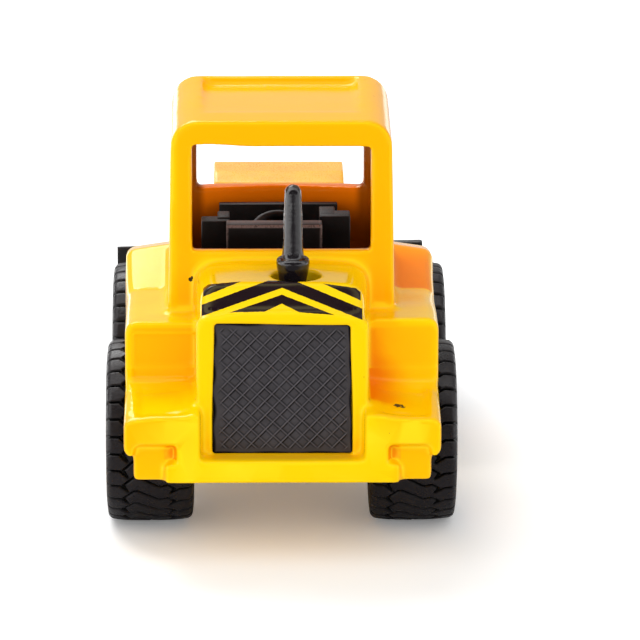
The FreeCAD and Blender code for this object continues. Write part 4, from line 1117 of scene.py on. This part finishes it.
def rimShapes(low, high, centre, out):
    # out is the way its face looks
    radius = (high[2] - low[2]) / 2
    face, back = (end - centre[0] for end in ((high[0], low[0]) if out > 0 else (low[0], high[0])))
    points = rim["hub"] + [(deep, radius - down) for deep, down in rim["lip"]] + rim["cap"]
    profile = [(back if deep is None else face - out * deep, size) for deep, size in points]
    shapes = [latheShape(profile, centre, 0, rim["steps"])]
    bolt = [(out * tall, max(share * rim["boltRadius"], onAxis)) for tall, share in rim["bolt"]]
    for k in range(rim["bolts"]):
        turn = 2 * math.pi * (k + 0.5) / rim["bolts"]
        spot = (centre[0] + face - out * rim["boltDepth"], centre[1] + rim["boltCircle"] * math.cos(turn),
                centre[2] + rim["boltCircle"] * math.sin(turn))
        shapes.append(latheShape(bolt, spot, 0, rim["boltSides"]))
    return shapes


# wire axles and pins: how far short of the end, and share of the head's radius
axle = dict(nail=[(0, 0), (0, 0.35), (0.06, 0.7), (0.16, 0.93), (0.26, 1), (0.35, 1)], neck=0.37, wire=1.0,
            steps=64)
pin = dict(end=[(0, 0), (0, 0.7), (0.12, 1)], steps=48)


def headedShape(name, node, outline, steps, wire=()):
    centre, half = nodeSpan(node)
    end = [(half[0] - short, max(half[2] * share, onAxis)) for short, share in outline]
    end += [(half[0] - short, size) for short, size in wire]
    profile = [(-reach, size) for reach, size in end] + end[::-1]
    return plainShape(name, [latheShape(profile, centre, 0, steps)])


def addWheels():
    for end in ("rear", "front"):
        for side, out in (("left", -1), ("right", 1)):
            tyreNode, rimNode = f"{end}_{side}_tyre", f"{end}_{side}_rim"
            centre, half = nodeSpan(tyreNode)
            bore = nodeSpan(rimNode)[1][2] + tyre["bore"]
            thing = tyreShape(f"{end}{side.title()}Tread", centre, half[0], half[2], bore, tyre[end],
                              tyre["seed"] + out)
            finish(thing, "tyreRubber", f"{end}_wheelset", tyreNode)
            shapes = rimShapes(*nodeBox(rimNode), centre, out)
            thing = plainShape(f"{end}{side.title()}Dish", shapes, rim["sharp"])
            finish(thing, "yellowPlastic", f"{end}_wheelset", rimNode)
        thing = headedShape(f"{end}AxleNail", f"{end}_axle", axle["nail"], axle["steps"],
                            [(axle["neck"], axle["wire"])])
        finish(thing, "axleSteel", f"{end}_wheelset", f"{end}_axle")
    print("wheels ready")


# boom, with a raised ring round its pivot on each side: (out from the side, radius)
boom = dict(voxel=0.13, crisp=6, pool=16, budget=42000, uneven=0.015, grow=0.02, seed=21,
            ring=[(0, 1.06), (0, 2.1), (0.12, 2.25), (-0.6, 2.25), (-0.6, 1.06)], ringIn=0.12, steps=72)


def addBoom():
    low, high = nodeBox("boom")
    pivot = nodeSpan("boom_pivot_pin")[0]
    shapes = [nodeShape("boom")]
    for out in (-1, 1):
        ring = [(out * reach, radius) for reach, radius in boom["ring"]]
        centre = (out * (high[0] - boom["ringIn"]), pivot[1], pivot[2])
        shapes.append(latheShape(ring, centre, 0, boom["steps"]))
    thing = castShape("boomArm", shapes, boom)
    finish(thing, "yellowPlastic", "lift_arm", "boom")
    for node, ridden, name in (("boom_pivot_pin", "machine", "boomPin"),
                               ("bucket_pivot_pin", "lift_arm", "bucketPin")):
        finish(headedShape(name, node, pin["end"], pin["steps"]), "axleSteel", ridden, node)


# bucket; it hangs a little down to the left on its loose pin
bucket = dict(voxel=0.15, crisp=5, pool=16, budget=56000, uneven=0.015, grow=0.02, seed=23, lean=1.25)


def bucketSculpt(spots, facing):
    level = nodeSpan("bucket_pivot_pin")[0][2]
    turn = math.radians(bucket["lean"])
    x, z = spots[:, 0], spots[:, 2] - level
    return np.column_stack((x * math.cos(turn) - z * math.sin(turn), spots[:, 1],
                            level + x * math.sin(turn) + z * math.cos(turn)))


def addBucket():
    thing = castShape("bucketScoop", [nodeShape("bucket")], bucket, bucketSculpt)
    finish(thing, "bucketPlastic", "scoop", "bucket")


# floor: as the paint mirrors it, it is lit on both sides and dim behind the toy
paper = dict(size=3, colour=(0.86, 0.865, 0.87), fibre=0.2, pale=1.02, seen=0.95, glow=0.15, dim=0.2,
             rough=0.6, litLeft=(-30.0, -110.0, 0.0, 2.6), litRight=(40.0, 130.0, 0.0, 1.4),
             behind=(-36.0, -60.0, 0.65, 1.0))
# studio: soft light all round, brighter from behind the toy and from its left; mirrored in the paint are
# a dim room behind and a ring of bright screens over and beside the toy
studio = dict(sky=(-0.6, 0.3, 1.42, 0.35), left=(-0.1, -0.9, 0.0, 0.25), room=(-0.75, 0.2, 0.10, 0.6),
              ring=3.7, ringAt=-0.18, ringWide=0.34, ringCore=0.35, ringSide=(0.6, -0.5, 0.55, 1.0),
              backdrop=1.0, key=1.9, keySize=0.32, keyPlace=(-0.15, 0.28, 0.385))


def addFloor():
    size = paper["size"]
    corners = [(-size, -size, 0), (size, -size, 0), (size, size, 0), (-size, size, 0)]
    floor = makeObject("floor", corners, [(0, 1, 2, 3)])
    tree, shader = newFinish("paper")
    where = place(tree)
    axes = axesOf(tree, where)
    ray = put(tree, "ShaderNodeLightPath").outputs
    pale = tuple(c * paper["pale"] for c in paper["colour"])
    colour = tint(tree, grain(tree, where, paper["fibre"]), paper["colour"], pale)
    dim = times(tree, ramp(tree, axes["y"], *paper["behind"]), ray["Is Glossy Ray"])
    colour = tint(tree, dim, colour, (paper["dim"],) * 3)
    lit = most(tree, ramp(tree, axes["x"], *paper["litLeft"]), ramp(tree, axes["x"], *paper["litRight"]))
    glow = calc(tree, "MULTIPLY_ADD", ray["Is Camera Ray"], paper["glow"],
                times(tree, lit, ray["Is Glossy Ray"]))
    fit(tree, shader, {"Base Color": tint(tree, ray["Is Camera Ray"], colour, (paper["seen"],) * 3),
                       "Roughness": paper["rough"], "Specular IOR Level": 0.0,
                       "Emission Color": (1.0, 1.0, 1.0), "Emission Strength": glow})
    floor.data.materials.append(finishes["paper"])


def addStudio():
    world = bpy.data.worlds.new("studio")
    bpy.context.scene.world = world
    world.use_nodes = True
    tree = world.node_tree
    ray = put(tree, "ShaderNodeLightPath").outputs
    axes = axesOf(tree, put(tree, "ShaderNodeTexCoord").outputs["Generated"])
    sky = calc(tree, "ADD", ramp(tree, axes["y"], *studio["sky"]), ramp(tree, axes["x"], *studio["left"]))
    room = ramp(tree, axes["y"], *studio["room"])
    away = calc(tree, "ABSOLUTE", calc(tree, "SUBTRACT", axes["y"], studio["ringAt"]))
    ring = ramp(tree, away, studio["ringWide"], studio["ringWide"] * studio["ringCore"], 0.0, studio["ring"])
    ring = times(tree, ring, ramp(tree, axes["x"], *studio["ringSide"]))
    mirrored = calc(tree, "MULTIPLY_ADD", ring, ray["Is Glossy Ray"], room)
    reflected = most(tree, ray["Is Glossy Ray"], ray["Is Transmission Ray"])
    strength = put(tree, "ShaderNodeMix", {0: reflected, 2: sky, 3: mirrored}).outputs[0]
    strength = put(tree, "ShaderNodeMix", {0: ray["Is Camera Ray"], 2: strength,
                                           3: studio["backdrop"]}).outputs[0]
    fit(tree, tree.nodes["Background"], {"Color": (1, 1, 1), "Strength": strength})

    lamp = bpy.data.objects.new("softbox", bpy.data.lights.new("softbox", "AREA"))
    lamp.data.shape = "SQUARE"
    lamp.data.size, lamp.data.energy = studio["keySize"], studio["key"]
    lamp.location = studio["keyPlace"]
    lamp.rotation_mode = "QUATERNION"
    lamp.rotation_quaternion = (-lamp.location).to_track_quat("-Z", "Y")
    bpy.context.scene.collection.objects.link(lamp)
    bpy.context.scene.view_settings.view_transform = "Standard"


for stage in (addCamera, addFinishes, addBody, addBase, addGrille, addStack, addTub, addSeat, addDashboard,
              addWheels, addBoom, addBucket, addFloor, addStudio):
    stage()
    print("done:", stage.__name__)

triangles = {thing.name: sum(len(p.vertices) - 2 for p in thing.data.polygons)
             for thing in bpy.context.scene.objects
             if thing.type == "MESH" and thing.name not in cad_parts}
print("triangles:", sum(triangles.values()), "most:", max(triangles, key=triangles.get))
